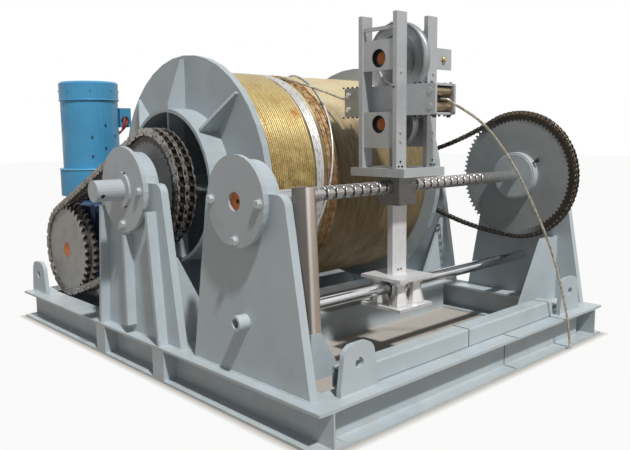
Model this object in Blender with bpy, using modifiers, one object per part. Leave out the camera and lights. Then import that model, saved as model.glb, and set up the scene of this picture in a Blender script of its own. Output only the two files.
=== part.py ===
"""Wire rope winch on a steel skid, with a chain drive and a travelling rope guide.

Units are metres. X runs along the drum, Y from the rope guide at the front to
the motor at the rear, Z up. The origin is the middle of the skid's underside.
Each sub-part is one named object; a moving one hangs from an empty that stands
on its axis.
"""

import math

import bmesh
import bpy
from mathutils import Matrix, Vector

# ---------------------------------------------------------------- dimensions

GAP = 0.0003                      # seat clearance between neighbouring solids
OVERLAP = 0.002                   # how deep a welded piece runs into the next
SMALL_ROUND = 12                  # facets of a small pin or roller
ROUND = 24                        # facets of a shaft or its bore
WIDE_ROUND = 32                   # facets of a housing or cover
DRUM_ROUND = 40                   # facets of the drum and its rope

# skid: two full-length side beams with everything else between them
SKID_WIDTH = 2.438
SKID_LENGTH = 3.048
BEAM_HEIGHT = 0.184
BEAM_WIDTH = 0.164
FLANGE_THICK = 0.013
FLANGE_TAPER = 0.003              # how much a flange thickens towards the web
WEB_THICK = 0.009
CHANNEL_WIDTH = 0.110
BOX_MEMBER = 0.096
BOX_WALL = 0.008
BOX_FRONT = 0.088                 # skid front to the box member
BOX_LEFT = 0.250                  # skid left to the box member's left end
BOX_RIGHT = 0.458                 # skid right to its right end
FILLER_LENGTH = 0.110             # stiffener blocks in the left beam's channel

# lifting lugs
LUG_WIDTH = 0.230
LUG_THICK = 0.025
LUG_HOLE_Z = 0.312
LUG_TOP_RADIUS = 0.088
LUG_HOLE_RADIUS = 0.025
LUG_INSET = 0.062                 # skid edge to the lug's outer face
FRONT_LUG_X = 0.924               # lug centres either side of the skid's middle
REAR_LUG_Y = 1.406

# axes of the machine
DRUM_Y = 0.0265
DRUM_Z = 0.984
SCREW_Y = -0.984
SCREW_Z = 0.986
GUIDE_Z = 0.444
DRIVE_Y = 1.161
DRIVE_Z = 0.503

# stands: tapered plates with a cradle for the round bearing housing
STAND_PLATE = 0.042
LEFT_STAND_INSET = 0.059          # skid edge to the plate's outer face
RIGHT_STAND_INSET = 0.0
STAND_TOP = 1.025
STAND_CORNER = 0.055
SCREW_STAND_FOOT = 0.4225         # half lengths of the plate at foot and top
SCREW_STAND_HEAD = 0.2757
DRUM_STAND_FOOT = 0.4595
DRUM_STAND_HEAD = 0.317
GUSSET_THICK = 0.022
GUSSET_TIP = 0.030                # height of a gusset's outer toe
SCREW_GUSSET_INSET = 0.240        # screw axis to the gusset, along Y
SCREW_GUSSET_REACH = (0.300, 0.428)
SCREW_GUSSET_RISE = (0.480, 0.415)
SCREW_GUSSET_HEAD = (0.020, 0.190)
DRUM_GUSSET_INSET = 0.354
DRUM_GUSSET_REACH = 0.245
DRUM_GUSSET_RISE = 0.460
DRUM_GUSSET_HEAD = 0.020
RIB_DEPTH = 0.054
RIB_THICK = 0.022
RIB_TOP = 0.880
RIB_FOOT_OFFSET = 0.3255          # drum axis to a side rib, at foot and top
RIB_TOP_OFFSET = 0.2550
CENTRE_RIB_LOW = 0.234
CENTRE_RIB_TOP = 0.735
SOCKET_SEAT = 0.012               # plate left in front of the guide bar's end
CHAFE_RADIUS = 0.050              # tube that keeps the rope off the left stand
CHAFE_WALL = 0.005
CHAFE_FOOT_OFFSET = 0.322         # screw axis to the tube, at its foot and head
CHAFE_HEAD_OFFSET = 0.293
CHAFE_FOOT_Z = 0.445
CHAFE_HEAD_Z = 1.055

# bearing housings, covers and shafts
COVER_STANDOFF = 0.024
COVER_THICK = 0.022
HOUSING_INNER = 0.024             # how far a housing passes the plate inside
SCREW_COVER_RADIUS = 0.2044
SCREW_HOUSING_RADIUS = 0.180
SCREW_JOURNAL_RADIUS = 0.030
SCREW_COVER_HOLE = 0.0425
DRUM_COVER_RADIUS = 0.2312
DRUM_HOUSING_RADIUS = 0.200
DRUM_BEARING_RADIUS = 0.105
DRUM_SHAFT_RADIUS = 0.0575
DRUM_HUB_RING = 0.097
HUB_RING_RISE = 0.012
BEARING_WIDTH = 0.060
SHAFT_STUB = 0.166                # shaft end beyond the left cover
SHOULDER = 0.002                  # gap from the screw's shoulder to its housing

# drum
DRUM_LEFT = 0.4253                # skid edge to the left flange's outer face
DRUM_FLANGE_RADIUS = 0.7325
DRUM_FLANGE_THICK = 0.040
DRUM_INSIDE = 1.350               # between the flanges
BARREL_RADIUS = 0.435
BARREL_WALL = 0.020
BARREL_OVERHANG = 0.135
HUB_RADIUS = 0.105
HUB_LENGTH = 0.150
GUSSET_COUNT = 8
DRUM_GUSSET_THICK = 0.016
GUSSET_RIM_MARGIN = 0.022
SPOKE_DEPTH = 0.100
SPOKE_SPACING = 2                 # a spoke behind every second gusset
ROPE_PACK_RADIUS = 0.650
ROPE_RADIUS = 0.007
ROPE_STEP = 6                     # rope radii between two points of its tube
LEAD_FLEET = 0.118                # sideways lead of the rope from drum to guide

# drive chain (double row, 50.8 mm pitch) and its sprockets
DRIVE_PITCH = 0.0508
DRIVE_ROW_X = 0.187               # skid edge to the middle of the near row
DRIVE_ROW_STEP = 0.05855
DRIVE_TOOTH_WIDTH = 0.0302
DRIVE_INSIDE = 0.0318
DRIVE_PLATES = 0.0128             # inner and outer plate together
DRIVE_PLATE_HEIGHT = 0.048
DRIVE_ROLLER = 0.0142
DRIVE_TEETH = 36
DRIVEN_TEETH = 38
DRIVE_SAG_TOP = 0.004
DRIVE_SAG_BOTTOM = 0.030
OUTPUT_SHAFT_RADIUS = 0.048
OUTPUT_DEPTH = 0.120              # how far the output shaft runs into its case
TIP_WIDTH = 0.30                  # a tooth's tip as part of the pitch
TIP_RISE = 0.60                   # blank height over the pitch polygon, in pitches
FINE_PITCH = 0.040                # below this a tooth is drawn as a plain point
CORE_DEPTH = 0.7                  # core below the pitch circle, in plate heights

# level-wind chain (31.75 mm pitch): drum shaft to reversing screw
WIND_PITCH = 0.03175
WIND_ROW_X = 0.1214               # skid's right edge to the middle of the row
WIND_TOOTH_WIDTH = 0.0175
WIND_INSIDE = 0.0191
WIND_PLATES = 0.0082
WIND_PLATE_HEIGHT = 0.030
WIND_ROLLER = 0.0095
WIND_TEETH = 80
PINION_TEETH = 20
WIND_SAG_TOP = 0.045
WIND_SAG_BOTTOM = 0.070
WIND_HUB_RADIUS = 0.150
WIND_HUB_LENGTH = 0.050
ROLLER_SPACING = 6                # every sixth roller of a strand is modelled
ROLLER_FACETS = 6

# motor and gearbox, at the skid's rear left
MOTOR_X = 0.505
MOTOR_Y = 1.412
MOTOR_RADIUS = 0.205
MOTOR_BASE = 0.846
MOTOR_TOP = 1.650
MOTOR_CAP = 0.130                 # depth of the cap above its seam
CAP_STEP = 0.006
ADAPTER_STEP = 0.018
ADAPTER_HEIGHT = 0.195
TERMINAL_SIZE = (0.090, 0.140, 0.140)
TERMINAL_BASE = 1.330
GEARBOX_LEFT = 0.285
GEARBOX_RIGHT = 0.660
GEARBOX_FRONT = 0.985
GEARBOX_REAR = 1.500
GEARBOX_BASE = 0.290
GEARBOX_TOP = 0.820
CASE_EDGE = 0.020
NECK_RADIUS = 0.150
FIN_COUNT = 6
FIN_THICK = 0.010
FIN_HEIGHT = 0.020
SEAT_PLATE = 0.020
SEAT_LEFT = 0.290
SEAT_RIGHT = 0.700
SEAT_FRONT = 0.945
SEAT_WEB = 0.016

# reversing screw, guide bar and carriage
SCREW_RADIUS = 0.035
GUIDE_RADIUS = 0.032
SOCKET_RADIUS = 0.036
SOCKET_BORE = 0.023
CARRIAGE_X = -0.121
NUT_SIZE = (0.141, 0.145, 0.1557)
NUT_DROP = 0.096                  # screw axis to the nut block's underside
NUT_CLEARANCE = 0.001
PAWL_RADIUS = 0.016
PLATE_SIZE = (0.335, 0.370, 0.044)
POST_WIDTH = 0.078
POST_THICK = 0.026
POST_TOP = 1.870
POST_X = 0.163                    # carriage middle to a post's outer edge
POST_Y = 0.130                    # carriage middle to a post's outer face
SIDE_THICK = 0.012
SIDE_INSET = 0.010
UPPER_PANEL = (1.588, 1.742)
LOWER_PANEL = (1.195, 1.379)
CROSS_BAR = (1.788, 1.807)
UPPER_SHEAVE_Z = 1.650
UPPER_SHEAVE_RADIUS = 0.196
UPPER_SHEAVE_WIDTH = 0.050
LOWER_SHEAVE_Z = 1.316
LOWER_SHEAVE_RADIUS = 0.122
LOWER_SHEAVE_WIDTH = 0.040
AXLE_RADIUS = 0.024
HUB_WALL = 0.016
SHEAVE_RIM = 0.66                 # start of the rim, in sheave radii
SHEAVE_CROWN = 0.90               # start of the rim's slope, in sheave radii
RIM_SHARE = 0.72                  # rim below its slope as part of its full width
GROOVE_DEPTH = 1.2                # groove of a sheave, in rope radii
GROOVE_FLOOR = 0.55
WEB_SHARE = 0.4                   # web of a sheave as part of its rim's width
BRACKET_REACH = 0.138             # cable bracket beyond the right front post
BRACKET_THICK = 0.010
BRACKET_SPAN = (1.604, 1.714)
BOSS_RADIUS = 0.062
BOSS_BORE = 0.047
BOSS_LENGTH = 0.034
FAIRLEAD_Z = 1.4375
FAIRLEAD_HEIGHT = 0.155
FAIRLEAD_LENGTH = 0.620
FAIRLEAD_PLATE = 0.015
FAIRLEAD_CORNER = 0.008
BRIDGE_THICK = 0.012              # plates that join the fairlead's two sides
BRIDGE_LENGTH = 0.155
ROLLER_RADIUS = 0.0235
ROLLER_RISE = 0.0385
ROLLER_INSET = 0.032
ROLLER_PIN = 0.010
STEM_SIZE = (0.115, 0.036)
GUIDE_PLATE = (0.275, 0.280)
UPPER_GUIDE_PLATE = (0.4905, 0.508)
LOWER_GUIDE_PLATE = (0.333, 0.350)
SPOOL_X = 0.065
SPOOL_FLANGE = 0.055
SPOOL_WAIST = 0.037
SPOOL_CLEARANCE = 0.001
SPOOL_PIN = 0.011
SPOOL_LIP = 0.010
WAIST_HALF = 0.019                # half height of a spool's narrow part

# rope from the drum through the fairlead to the ground
TAIL_POINTS = (
    (-0.121, -1.268, 1.4375),
    (-0.073, -1.312, 1.4120),
    (0.096, -1.359, 1.3220),
    (0.225, -1.395, 1.2020),
    (0.333, -1.424, 1.0700),
    (0.416, -1.447, 0.9450),
    (0.534, -1.480, 0.7430),
    (0.611, -1.502, 0.5900),
    (0.694, -1.524, 0.3760),
    (0.748, -1.539, 0.1880),
    (0.780, -1.548, 0.0120),
)

# ------------------------------------------------------- derived positions

SKID_LEFT = -SKID_WIDTH / 2
SKID_RIGHT = SKID_WIDTH / 2
SKID_FRONT = -SKID_LENGTH / 2
SKID_REAR = SKID_LENGTH / 2
LEFT_PLATE = SKID_LEFT + LEFT_STAND_INSET
RIGHT_PLATE = SKID_RIGHT - RIGHT_STAND_INSET
DRUM_FACE = SKID_LEFT + DRUM_LEFT
DRUM_RIGHT = DRUM_FACE + DRUM_INSIDE + 2 * DRUM_FLANGE_THICK
DRIVE_ROW = SKID_LEFT + DRIVE_ROW_X
WIND_ROW = SKID_RIGHT - WIND_ROW_X
NUT_BASE = SCREW_Z - NUT_DROP
PLATE_BASE = NUT_BASE + NUT_SIZE[2] + GAP
PLATE_TOP = PLATE_BASE + PLATE_SIZE[2]

PAINT = ("skid_paint", (0.55, 0.60, 0.64), 0.45, 0.0)
BLUE = ("motor_blue", (0.03, 0.28, 0.52), 0.4, 0.0)
STEEL = ("bright_steel", (0.62, 0.62, 0.62), 0.25, 1.0)
CHROME = ("chrome", (0.80, 0.80, 0.82), 0.10, 1.0)
ALUMINIUM = ("aluminium", (0.70, 0.71, 0.72), 0.40, 1.0)
CHAIN = ("chain_steel", (0.10, 0.07, 0.05), 0.45, 1.0)
ROPE = ("wire_rope", (0.45, 0.38, 0.18), 0.5, 0.6)
BRONZE = ("bronze", (0.50, 0.32, 0.15), 0.4, 1.0)

AXIS_TURN = {
    "X": (0.0, math.pi / 2, 0.0),
    "Y": (-math.pi / 2, 0.0, 0.0),
    "Z": (0.0, 0.0, 0.0),
}
OUTLINE_TURN = {
    "X": Matrix(((0, 0, 1), (1, 0, 0), (0, 1, 0))).to_4x4(),
    "Y": Matrix(((1, 0, 0), (0, 0, -1), (0, 1, 0))).to_4x4(),
    "Z": Matrix.Identity(4),
}

# ------------------------------------------------------------------- helpers


def clear_scene():
    for old in list(bpy.data.objects):
        bpy.data.objects.remove(old, do_unlink=True)


def new_collection(name):
    collection = bpy.data.collections.new(name)
    bpy.context.scene.collection.children.link(collection)
    return collection


def finish_of(spec):
    """The material of one finish, made the first time it is asked for."""
    name, colour, roughness, metallic = spec
    found = bpy.data.materials.get(name)
    if found:
        return found
    made = bpy.data.materials.new(name)
    made.use_nodes = True
    shader = made.node_tree.nodes["Principled BSDF"]
    shader.inputs["Base Color"].default_value = (*colour, 1.0)
    shader.inputs["Roughness"].default_value = roughness
    shader.inputs["Metallic"].default_value = metallic
    return made


def put_in(piece, collection):
    for holder in list(piece.users_collection):
        holder.objects.unlink(piece)
    collection.objects.link(piece)


def node(name, piece, finish, body):
    """Names a finished piece, gives it its material and hangs it on its body."""
    piece.name = name
    piece.data.name = name
    piece.data.materials.clear()
    piece.data.materials.append(finish_of(finish))
    put_in(piece, PARTS)
    bpy.context.view_layer.update()
    piece.parent = body
    piece.matrix_parent_inverse = body.matrix_world.inverted()
    return piece


def axis_empty(name, place, parent=None):
    empty = bpy.data.objects.new(name, None)
    empty.location = place
    PARTS.objects.link(empty)
    bpy.context.view_layer.update()
    if parent:
        empty.parent = parent
        empty.matrix_parent_inverse = parent.matrix_world.inverted()
        bpy.context.view_layer.update()
    return empty


def round_off(piece):
    """Shades a round piece smooth, with its edges kept sharp."""
    piece.data.shade_smooth()
    piece.data.set_sharp_from_angle(angle=math.radians(35))
    return piece


def box(low, high):
    size = [b - a for a, b in zip(low, high)]
    middle = [(a + b) / 2 for a, b in zip(low, high)]
    bpy.ops.mesh.primitive_cube_add(size=1.0, location=middle)
    piece = bpy.context.object
    piece.data.transform(Matrix.Diagonal((*size, 1.0)))
    return piece


def bar(radius, axis, low, high, across, facets=ROUND):
    """A round bar along an axis; across gives its place on the other two."""
    middle = list(across)
    middle.insert("XYZ".index(axis), (low + high) / 2)
    bpy.ops.mesh.primitive_cylinder_add(
        vertices=facets, radius=radius, depth=high - low,
        location=middle, rotation=AXIS_TURN[axis])
    return round_off(bpy.context.object)


def turned(profile, axis, place, facets=ROUND):
    """A closed (radius, along) profile turned round an axis with Screw.

    The profile runs from high to low along the axis on its outer side.
    """
    mesh = bpy.data.meshes.new("turned")
    points = [(radius, 0.0, along) for radius, along in profile]
    last = len(points) - 1
    edges = [(i, i + 1) for i in range(last)]
    if profile[0][0] > 0 or profile[-1][0] > 0:
        edges.append((last, 0))
    mesh.from_pydata(points, edges, [])
    piece = bpy.data.objects.new("turned", mesh)
    piece.location = place
    piece.rotation_euler = AXIS_TURN[axis]
    PARTS.objects.link(piece)
    screw = piece.modifiers.new("turn", "SCREW")
    screw.axis = "Z"
    screw.steps = facets
    screw.render_steps = facets
    screw.use_merge_vertices = True
    screw.merge_threshold = 0.00001
    screw.use_smooth_shade = False
    return piece


def outline(loops, axis, low, high):
    """A flat outline with holes, pulled along an axis: a filled 2-D curve."""
    curve = bpy.data.curves.new("outline", "CURVE")
    curve.dimensions = "2D"
    curve.fill_mode = "BOTH"
    curve.extrude = (high - low) / 2
    for points in loops:
        spline = curve.splines.new("POLY")
        spline.points.add(len(points) - 1)
        for target, (across, up) in zip(spline.points, points):
            target.co = (across, up, 0.0, 1.0)
        spline.use_cyclic_u = True
    piece = bpy.data.objects.new("outline", curve)
    PARTS.objects.link(piece)
    middle = (low + high) / 2
    depth = Matrix.Translation((0.0, 0.0, -middle if axis == "Y" else middle))
    piece.matrix_world = OUTLINE_TURN[axis] @ depth
    return as_mesh(piece)


def as_mesh(piece):
    """Turns a curve object into a mesh object with welded caps."""
    bpy.context.view_layer.update()
    evaluated = piece.evaluated_get(bpy.context.evaluated_depsgraph_get())
    mesh = bpy.data.meshes.new_from_object(evaluated)
    form = bmesh.new()
    form.from_mesh(mesh)
    bmesh.ops.remove_doubles(form, verts=form.verts, dist=0.00001)
    form.to_mesh(mesh)
    form.free()
    made = bpy.data.objects.new(piece.name, mesh)
    PARTS.objects.link(made)
    made.matrix_world = piece.matrix_world.copy()
    bpy.data.objects.remove(piece, do_unlink=True)
    return made


def hide(tool):
    put_in(tool, TOOLS)
    tool.hide_render = True
    tool.display_type = "WIRE"


def combine(piece, tool, operation):
    boolean = piece.modifiers.new(operation.lower(), "BOOLEAN")
    boolean.operation = operation
    boolean.object = tool
    hide(tool)
    return piece


def cut(piece, *tools):
    for tool in tools:
        combine(piece, tool, "DIFFERENCE")
    return piece


def join(piece, *others):
    for other in others:
        combine(piece, other, "UNION")
    return piece


def loose_set(pieces):
    """Several separate mesh bodies held in one object."""
    bpy.context.view_layer.update()
    form = bmesh.new()
    for piece in pieces:
        mesh = piece.data.copy()
        mesh.transform(piece.matrix_world)
        form.from_mesh(mesh)
        bpy.data.meshes.remove(mesh)
        bpy.data.objects.remove(piece, do_unlink=True)
    mesh = bpy.data.meshes.new("set")
    form.to_mesh(mesh)
    form.free()
    made = bpy.data.objects.new("set", mesh)
    PARTS.objects.link(made)
    return made


def ring_points(radius, centre=(0.0, 0.0), count=ROUND, start=0.0):
    step = 2 * math.pi / count
    return [(centre[0] + radius * math.cos(start + i * step),
             centre[1] + radius * math.sin(start + i * step))
            for i in range(count)]


def running_bore(shaft_radius, facets=ROUND):
    """The bore in which a faceted shaft turns freely at any angle."""
    return (shaft_radius + GAP) / math.cos(math.pi / facets)


def rounded(points, radii, steps=4):
    """Rounds the corners of an outline; a radius of 0 leaves a corner sharp."""
    made = []
    count = len(points)
    for i, radius in enumerate(radii):
        here = Vector(points[i])
        if radius == 0:
            made.append(tuple(here))
            continue
        before = (Vector(points[i - 1]) - here).normalized()
        after = (Vector(points[(i + 1) % count]) - here).normalized()
        half = before.angle(after) / 2
        reach = radius / math.tan(half)
        centre = here + (before + after).normalized() * radius / math.sin(half)
        start = here + before * reach - centre
        end = here + after * reach - centre
        sweep = start.angle_signed(end)
        for k in range(steps + 1):
            turn = Matrix.Rotation(-sweep * k / steps, 2)
            made.append(tuple(centre + turn @ start))
    return made


# ---------------------------------------------------------------------- skid


def i_section(middle, width=BEAM_WIDTH):
    """Outline of a rolled beam standing on the ground, centred on middle."""
    half = width / 2
    web = WEB_THICK / 2
    low = FLANGE_THICK
    high = BEAM_HEIGHT - FLANGE_THICK
    side = [(half, 0.0), (half, low), (web, low + FLANGE_TAPER),
            (web, high - FLANGE_TAPER), (half, high), (half, BEAM_HEIGHT)]
    right = [(middle + a, z) for a, z in side]
    left = [(middle - a, z) for a, z in reversed(side)]
    return right + left


def channel_section(back, direction):
    """Outline of a rolled channel; its flanges point along direction."""
    web = WEB_THICK * direction
    tip = CHANNEL_WIDTH * direction
    low = FLANGE_THICK
    high = BEAM_HEIGHT - FLANGE_THICK
    side = [(0.0, 0.0), (tip, 0.0), (tip, low), (web, low + FLANGE_TAPER),
            (web, high - FLANGE_TAPER), (tip, high), (tip, BEAM_HEIGHT), (0.0, BEAM_HEIGHT)]
    return [(back + a, z) for a, z in side]


def lug(middle, axis, low):
    """A round-topped lifting lug, run into the beam it is welded to."""
    half = LUG_WIDTH / 2
    top = LUG_HOLE_Z + LUG_TOP_RADIUS
    foot = BEAM_HEIGHT - OVERLAP
    corners = [(middle - half, foot), (middle + half, foot),
               (middle + half, foot + GUSSET_TIP),
               (middle + LUG_TOP_RADIUS, top), (middle - LUG_TOP_RADIUS, top),
               (middle - half, foot + GUSSET_TIP)]
    plate = rounded(corners, (0, 0, 0, LUG_TOP_RADIUS * 0.7, LUG_TOP_RADIUS * 0.7, 0), 5)
    hole = ring_points(LUG_HOLE_RADIUS, (middle, LUG_HOLE_Z), 20)
    return outline([plate, hole], axis, low, low + LUG_THICK)


def side_beam(side):
    middle = side * (SKID_RIGHT - BEAM_WIDTH / 2)
    beam = outline([i_section(middle)], "Y", SKID_FRONT, SKID_REAR)
    outer = side * SKID_RIGHT
    low_x = outer - LUG_INSET - LUG_THICK if side > 0 else outer + LUG_INSET
    join(beam, lug(REAR_LUG_Y, "X", low_x))
    if side < 0:
        web = middle - WEB_THICK / 2 + OVERLAP
        for place in (-1, 1):
            y = DRUM_Y + place * RIB_FOOT_OFFSET
            block = box((SKID_LEFT, y - FILLER_LENGTH / 2, FLANGE_THICK - OVERLAP),
                        (web, y + FILLER_LENGTH / 2, BEAM_HEIGHT - FLANGE_THICK + OVERLAP))
            join(beam, block)
    return beam


def end_beam(front):
    """Beam across the skid between the side beams; the front one has two lugs."""
    middle = (SKID_FRONT + BEAM_WIDTH / 2) if front else (SKID_REAR - BEAM_WIDTH / 2)
    reach = SKID_RIGHT - BEAM_WIDTH - GAP
    beam = outline([i_section(middle)], "X", -reach, reach)
    if front:
        for side in (-1, 1):
            low = SKID_FRONT + BOX_FRONT - LUG_THICK - GAP
            join(beam, lug(side * FRONT_LUG_X, "Y", low))
    return beam


def cross_channel(direction):
    back = DRUM_Y - direction * DRUM_STAND_FOOT
    reach = SKID_RIGHT - BEAM_WIDTH - GAP
    return outline([channel_section(back, direction)], "X", -reach, reach)


def middle_beam():
    reach = SKID_RIGHT - BEAM_WIDTH - GAP
    return outline([i_section(0.0)], "X", -reach, reach)


def square_tube():
    low_y = SKID_FRONT + BOX_FRONT
    high_y = low_y + BOX_MEMBER
    low_z = BEAM_HEIGHT + GAP
    high_z = low_z + BOX_MEMBER
    outer = [(low_y, low_z), (high_y, low_z), (high_y, high_z), (low_y, high_z)]
    wall = BOX_WALL
    inner = [(low_y + wall, low_z + wall), (high_y - wall, low_z + wall),
             (high_y - wall, high_z - wall), (low_y + wall, high_z - wall)]
    outer = rounded(outer, (wall,) * 4, 2)
    return outline([outer, inner], "X", SKID_LEFT + BOX_LEFT, SKID_RIGHT - BOX_RIGHT)


def motor_seat():
    """Welded seat: a plate on two webs that reach from the cross beam rearwards."""
    low = BEAM_HEIGHT + GAP
    top = GEARBOX_BASE - GAP
    left = SKID_LEFT + SEAT_LEFT
    right = SKID_LEFT + SEAT_RIGHT
    rear = SKID_REAR - BEAM_WIDTH / 4
    seat = box((left, SEAT_FRONT, top - SEAT_PLATE), (right, rear, top))
    under = top - SEAT_PLATE + OVERLAP
    start = DRUM_Y + DRUM_STAND_FOOT - CHANNEL_WIDTH / 2
    for x in (left, right - SEAT_WEB):
        join(seat, box((x, start, low), (x + SEAT_WEB, rear, under)))
    join(seat, box((left, rear - SEAT_WEB, low), (right, rear, under)))
    return seat


def build_skid():
    node("side_beam_left", side_beam(-1), PAINT, SKID)
    node("side_beam_right", side_beam(1), PAINT, SKID)
    node("end_beam_front", end_beam(True), PAINT, SKID)
    node("end_beam_rear", end_beam(False), PAINT, SKID)
    node("cross_beam_front", cross_channel(1), PAINT, SKID)
    node("cross_beam_middle", middle_beam(), PAINT, SKID)
    node("cross_beam_rear", cross_channel(-1), PAINT, SKID)
    node("front_box_member", square_tube(), PAINT, SKID)
    node("motor_seat", motor_seat(), PAINT, SKID)


# -------------------------------------------------------------------- stands


def tapered_plate(middle, foot, head, holes, low, high):
    """Stand plate: a trapezium with round shoulders, standing on the skid."""
    base = BEAM_HEIGHT + GAP
    corners = [(middle - foot, base), (middle + foot, base),
               (middle + head, STAND_TOP), (middle - head, STAND_TOP)]
    shape = rounded(corners, (0, 0, STAND_CORNER, STAND_CORNER), 5)
    return outline([shape, *holes], "X", low, high)


def plate_span(side):
    """Low and high X of a stand's plate on the given side."""
    if side < 0:
        return LEFT_PLATE, LEFT_PLATE + STAND_PLATE
    return RIGHT_PLATE - STAND_PLATE, RIGHT_PLATE


def gusset(side, y, reach, rise, head):
    """A three-sided gusset across the stand, with a blunt toe and head."""
    low, high = plate_span(side)
    root = high - OVERLAP if side < 0 else low + OVERLAP
    base = BEAM_HEIGHT + GAP
    inward = -side
    corners = [(root, base), (root + inward * reach, base),
               (root + inward * reach, base + GUSSET_TIP),
               (root + inward * head, base + rise), (root, base + rise)]
    return outline([corners], "Y", y - GUSSET_THICK / 2, y + GUSSET_THICK / 2)


def housing_cradle(radius, y, z, side):
    low, high = plate_span(side)
    return bar(radius + GAP, "X", low - OVERLAP, high + OVERLAP, (y, z), WIDE_ROUND)


def screw_stand(side):
    low, high = plate_span(side)
    pick = 0 if side < 0 else 1
    stand = tapered_plate(SCREW_Y, SCREW_STAND_FOOT, SCREW_STAND_HEAD, [], low, high)
    join(stand, gusset(side, SCREW_Y - SCREW_GUSSET_INSET, SCREW_GUSSET_REACH[pick],
                       SCREW_GUSSET_RISE[pick], SCREW_GUSSET_HEAD[pick]))
    axis = (SCREW_Y, GUIDE_Z)
    if side < 0:
        join(stand, bar(SOCKET_RADIUS, "X", SKID_LEFT, low + OVERLAP, axis))
        cut(stand, bar(SOCKET_BORE, "X", SKID_LEFT - OVERLAP, high, axis))
        low += SOCKET_SEAT
    else:
        low -= OVERLAP
    cut(stand, bar(GUIDE_RADIUS + GAP, "X", low, high + OVERLAP, axis))
    return cut(stand, housing_cradle(SCREW_HOUSING_RADIUS, SCREW_Y, SCREW_Z, side))


def leaning_rib(direction):
    """A rib on the plate's outer face that follows the slope of its edge."""
    base = BEAM_HEIGHT + GAP
    foot = DRUM_Y + direction * RIB_FOOT_OFFSET
    top = DRUM_Y + direction * RIB_TOP_OFFSET
    half = RIB_THICK / 2
    corners = [(foot - half, base), (foot + half, base), (top + half, RIB_TOP),
               (top - half, RIB_TOP)]
    return outline([corners], "X", LEFT_PLATE - RIB_DEPTH, LEFT_PLATE + OVERLAP)


def drum_stand(side):
    low, high = plate_span(side)
    stand = tapered_plate(DRUM_Y, DRUM_STAND_FOOT, DRUM_STAND_HEAD, [], low, high)
    # the drive chain runs behind the left plate, so a gusset stands only in front
    for direction in ((-1,) if side < 0 else (-1, 1)):
        join(stand, gusset(side, DRUM_Y + direction * DRUM_GUSSET_INSET, DRUM_GUSSET_REACH,
                           DRUM_GUSSET_RISE, DRUM_GUSSET_HEAD))
    if side < 0:
        join(stand, leaning_rib(-1), leaning_rib(1))
        half = RIB_THICK / 2
        join(stand, box((LEFT_PLATE - RIB_DEPTH, DRUM_Y - half, CENTRE_RIB_LOW),
                        (LEFT_PLATE + OVERLAP, DRUM_Y + half, CENTRE_RIB_TOP)))
    return cut(stand, housing_cradle(DRUM_HOUSING_RADIUS, DRUM_Y, DRUM_Z, side))


def housing_span(side):
    """Outer and inner X of a bearing housing, and the outward direction."""
    low, high = plate_span(side)
    if side < 0:
        return low - COVER_STANDOFF, high + HOUSING_INNER
    return high + COVER_STANDOFF, low - HOUSING_INNER


def ring_between(outer_radius, inner_radius, first, second, y, z, facets=ROUND):
    low, high = sorted((first, second))
    return outline([ring_points(outer_radius, (y, z), facets),
                    ring_points(inner_radius, (y, z), facets)], "X", low, high)


def build_bearings(side, name):
    outer, inner = housing_span(side)
    shaft_bore = running_bore(DRUM_SHAFT_RADIUS)
    screw_bore = running_bore(SCREW_JOURNAL_RADIUS)
    fine = WIDE_ROUND
    node("screw_housing_" + name,
         ring_between(SCREW_HOUSING_RADIUS, screw_bore, outer, inner, SCREW_Y, SCREW_Z, fine),
         PAINT, SKID)
    node("drum_housing_" + name,
         ring_between(DRUM_HOUSING_RADIUS, running_bore(DRUM_BEARING_RADIUS), outer, inner,
                      DRUM_Y, DRUM_Z, fine), PAINT, SKID)
    seat = outer - side * GAP
    node("drum_bearing_" + name,
         ring_between(DRUM_BEARING_RADIUS, shaft_bore, seat, seat - side * BEARING_WIDTH,
                      DRUM_Y, DRUM_Z), STEEL, SKID)
    low = outer + side * GAP
    high = low + side * COVER_THICK
    node("screw_cover_" + name,
         ring_between(SCREW_COVER_RADIUS, SCREW_COVER_HOLE, low, high, SCREW_Y, SCREW_Z, fine),
         PAINT, SKID)
    node("drum_cover_" + name, drum_cover(side, low), PAINT, SKID)


def drum_cover(side, seat):
    """Round bearing cover with a raised ring round the shaft."""
    thick = COVER_THICK
    bore = running_bore(DRUM_SHAFT_RADIUS, WIDE_ROUND)
    profile = [(DRUM_COVER_RADIUS, thick), (DRUM_COVER_RADIUS, 0.0), (bore, 0.0),
               (bore, thick + HUB_RING_RISE), (DRUM_HUB_RING, thick + HUB_RING_RISE),
               (DRUM_HUB_RING, thick)]
    cover = turned(profile, "X", (seat, DRUM_Y, DRUM_Z), WIDE_ROUND)
    if side < 0:
        cover.rotation_euler = (0.0, -math.pi / 2, 0.0)
    return cover


def chafe_tube():
    """Stainless tube welded along the left screw stand's front edge."""
    inner = LEFT_PLATE + STAND_PLATE
    x = inner + CHAFE_RADIUS + GAP
    foot = Vector((x, SCREW_Y - CHAFE_FOOT_OFFSET, CHAFE_FOOT_Z))
    head = Vector((x, SCREW_Y - CHAFE_HEAD_OFFSET, CHAFE_HEAD_Z))
    tube = rod_between(foot, head, CHAFE_RADIUS)
    bore = rod_between(foot.lerp(head, -0.1), foot.lerp(head, 1.1), CHAFE_RADIUS - CHAFE_WALL)
    return cut(tube, bore)


def rod_between(start, end, radius, facets=ROUND):
    along = end - start
    bpy.ops.mesh.primitive_cylinder_add(vertices=facets, radius=radius, depth=along.length,
                                        location=(start + end) / 2)
    piece = bpy.context.object
    piece.rotation_mode = "QUATERNION"
    piece.rotation_quaternion = along.to_track_quat("Z", "Y")
    return round_off(piece)


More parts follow.
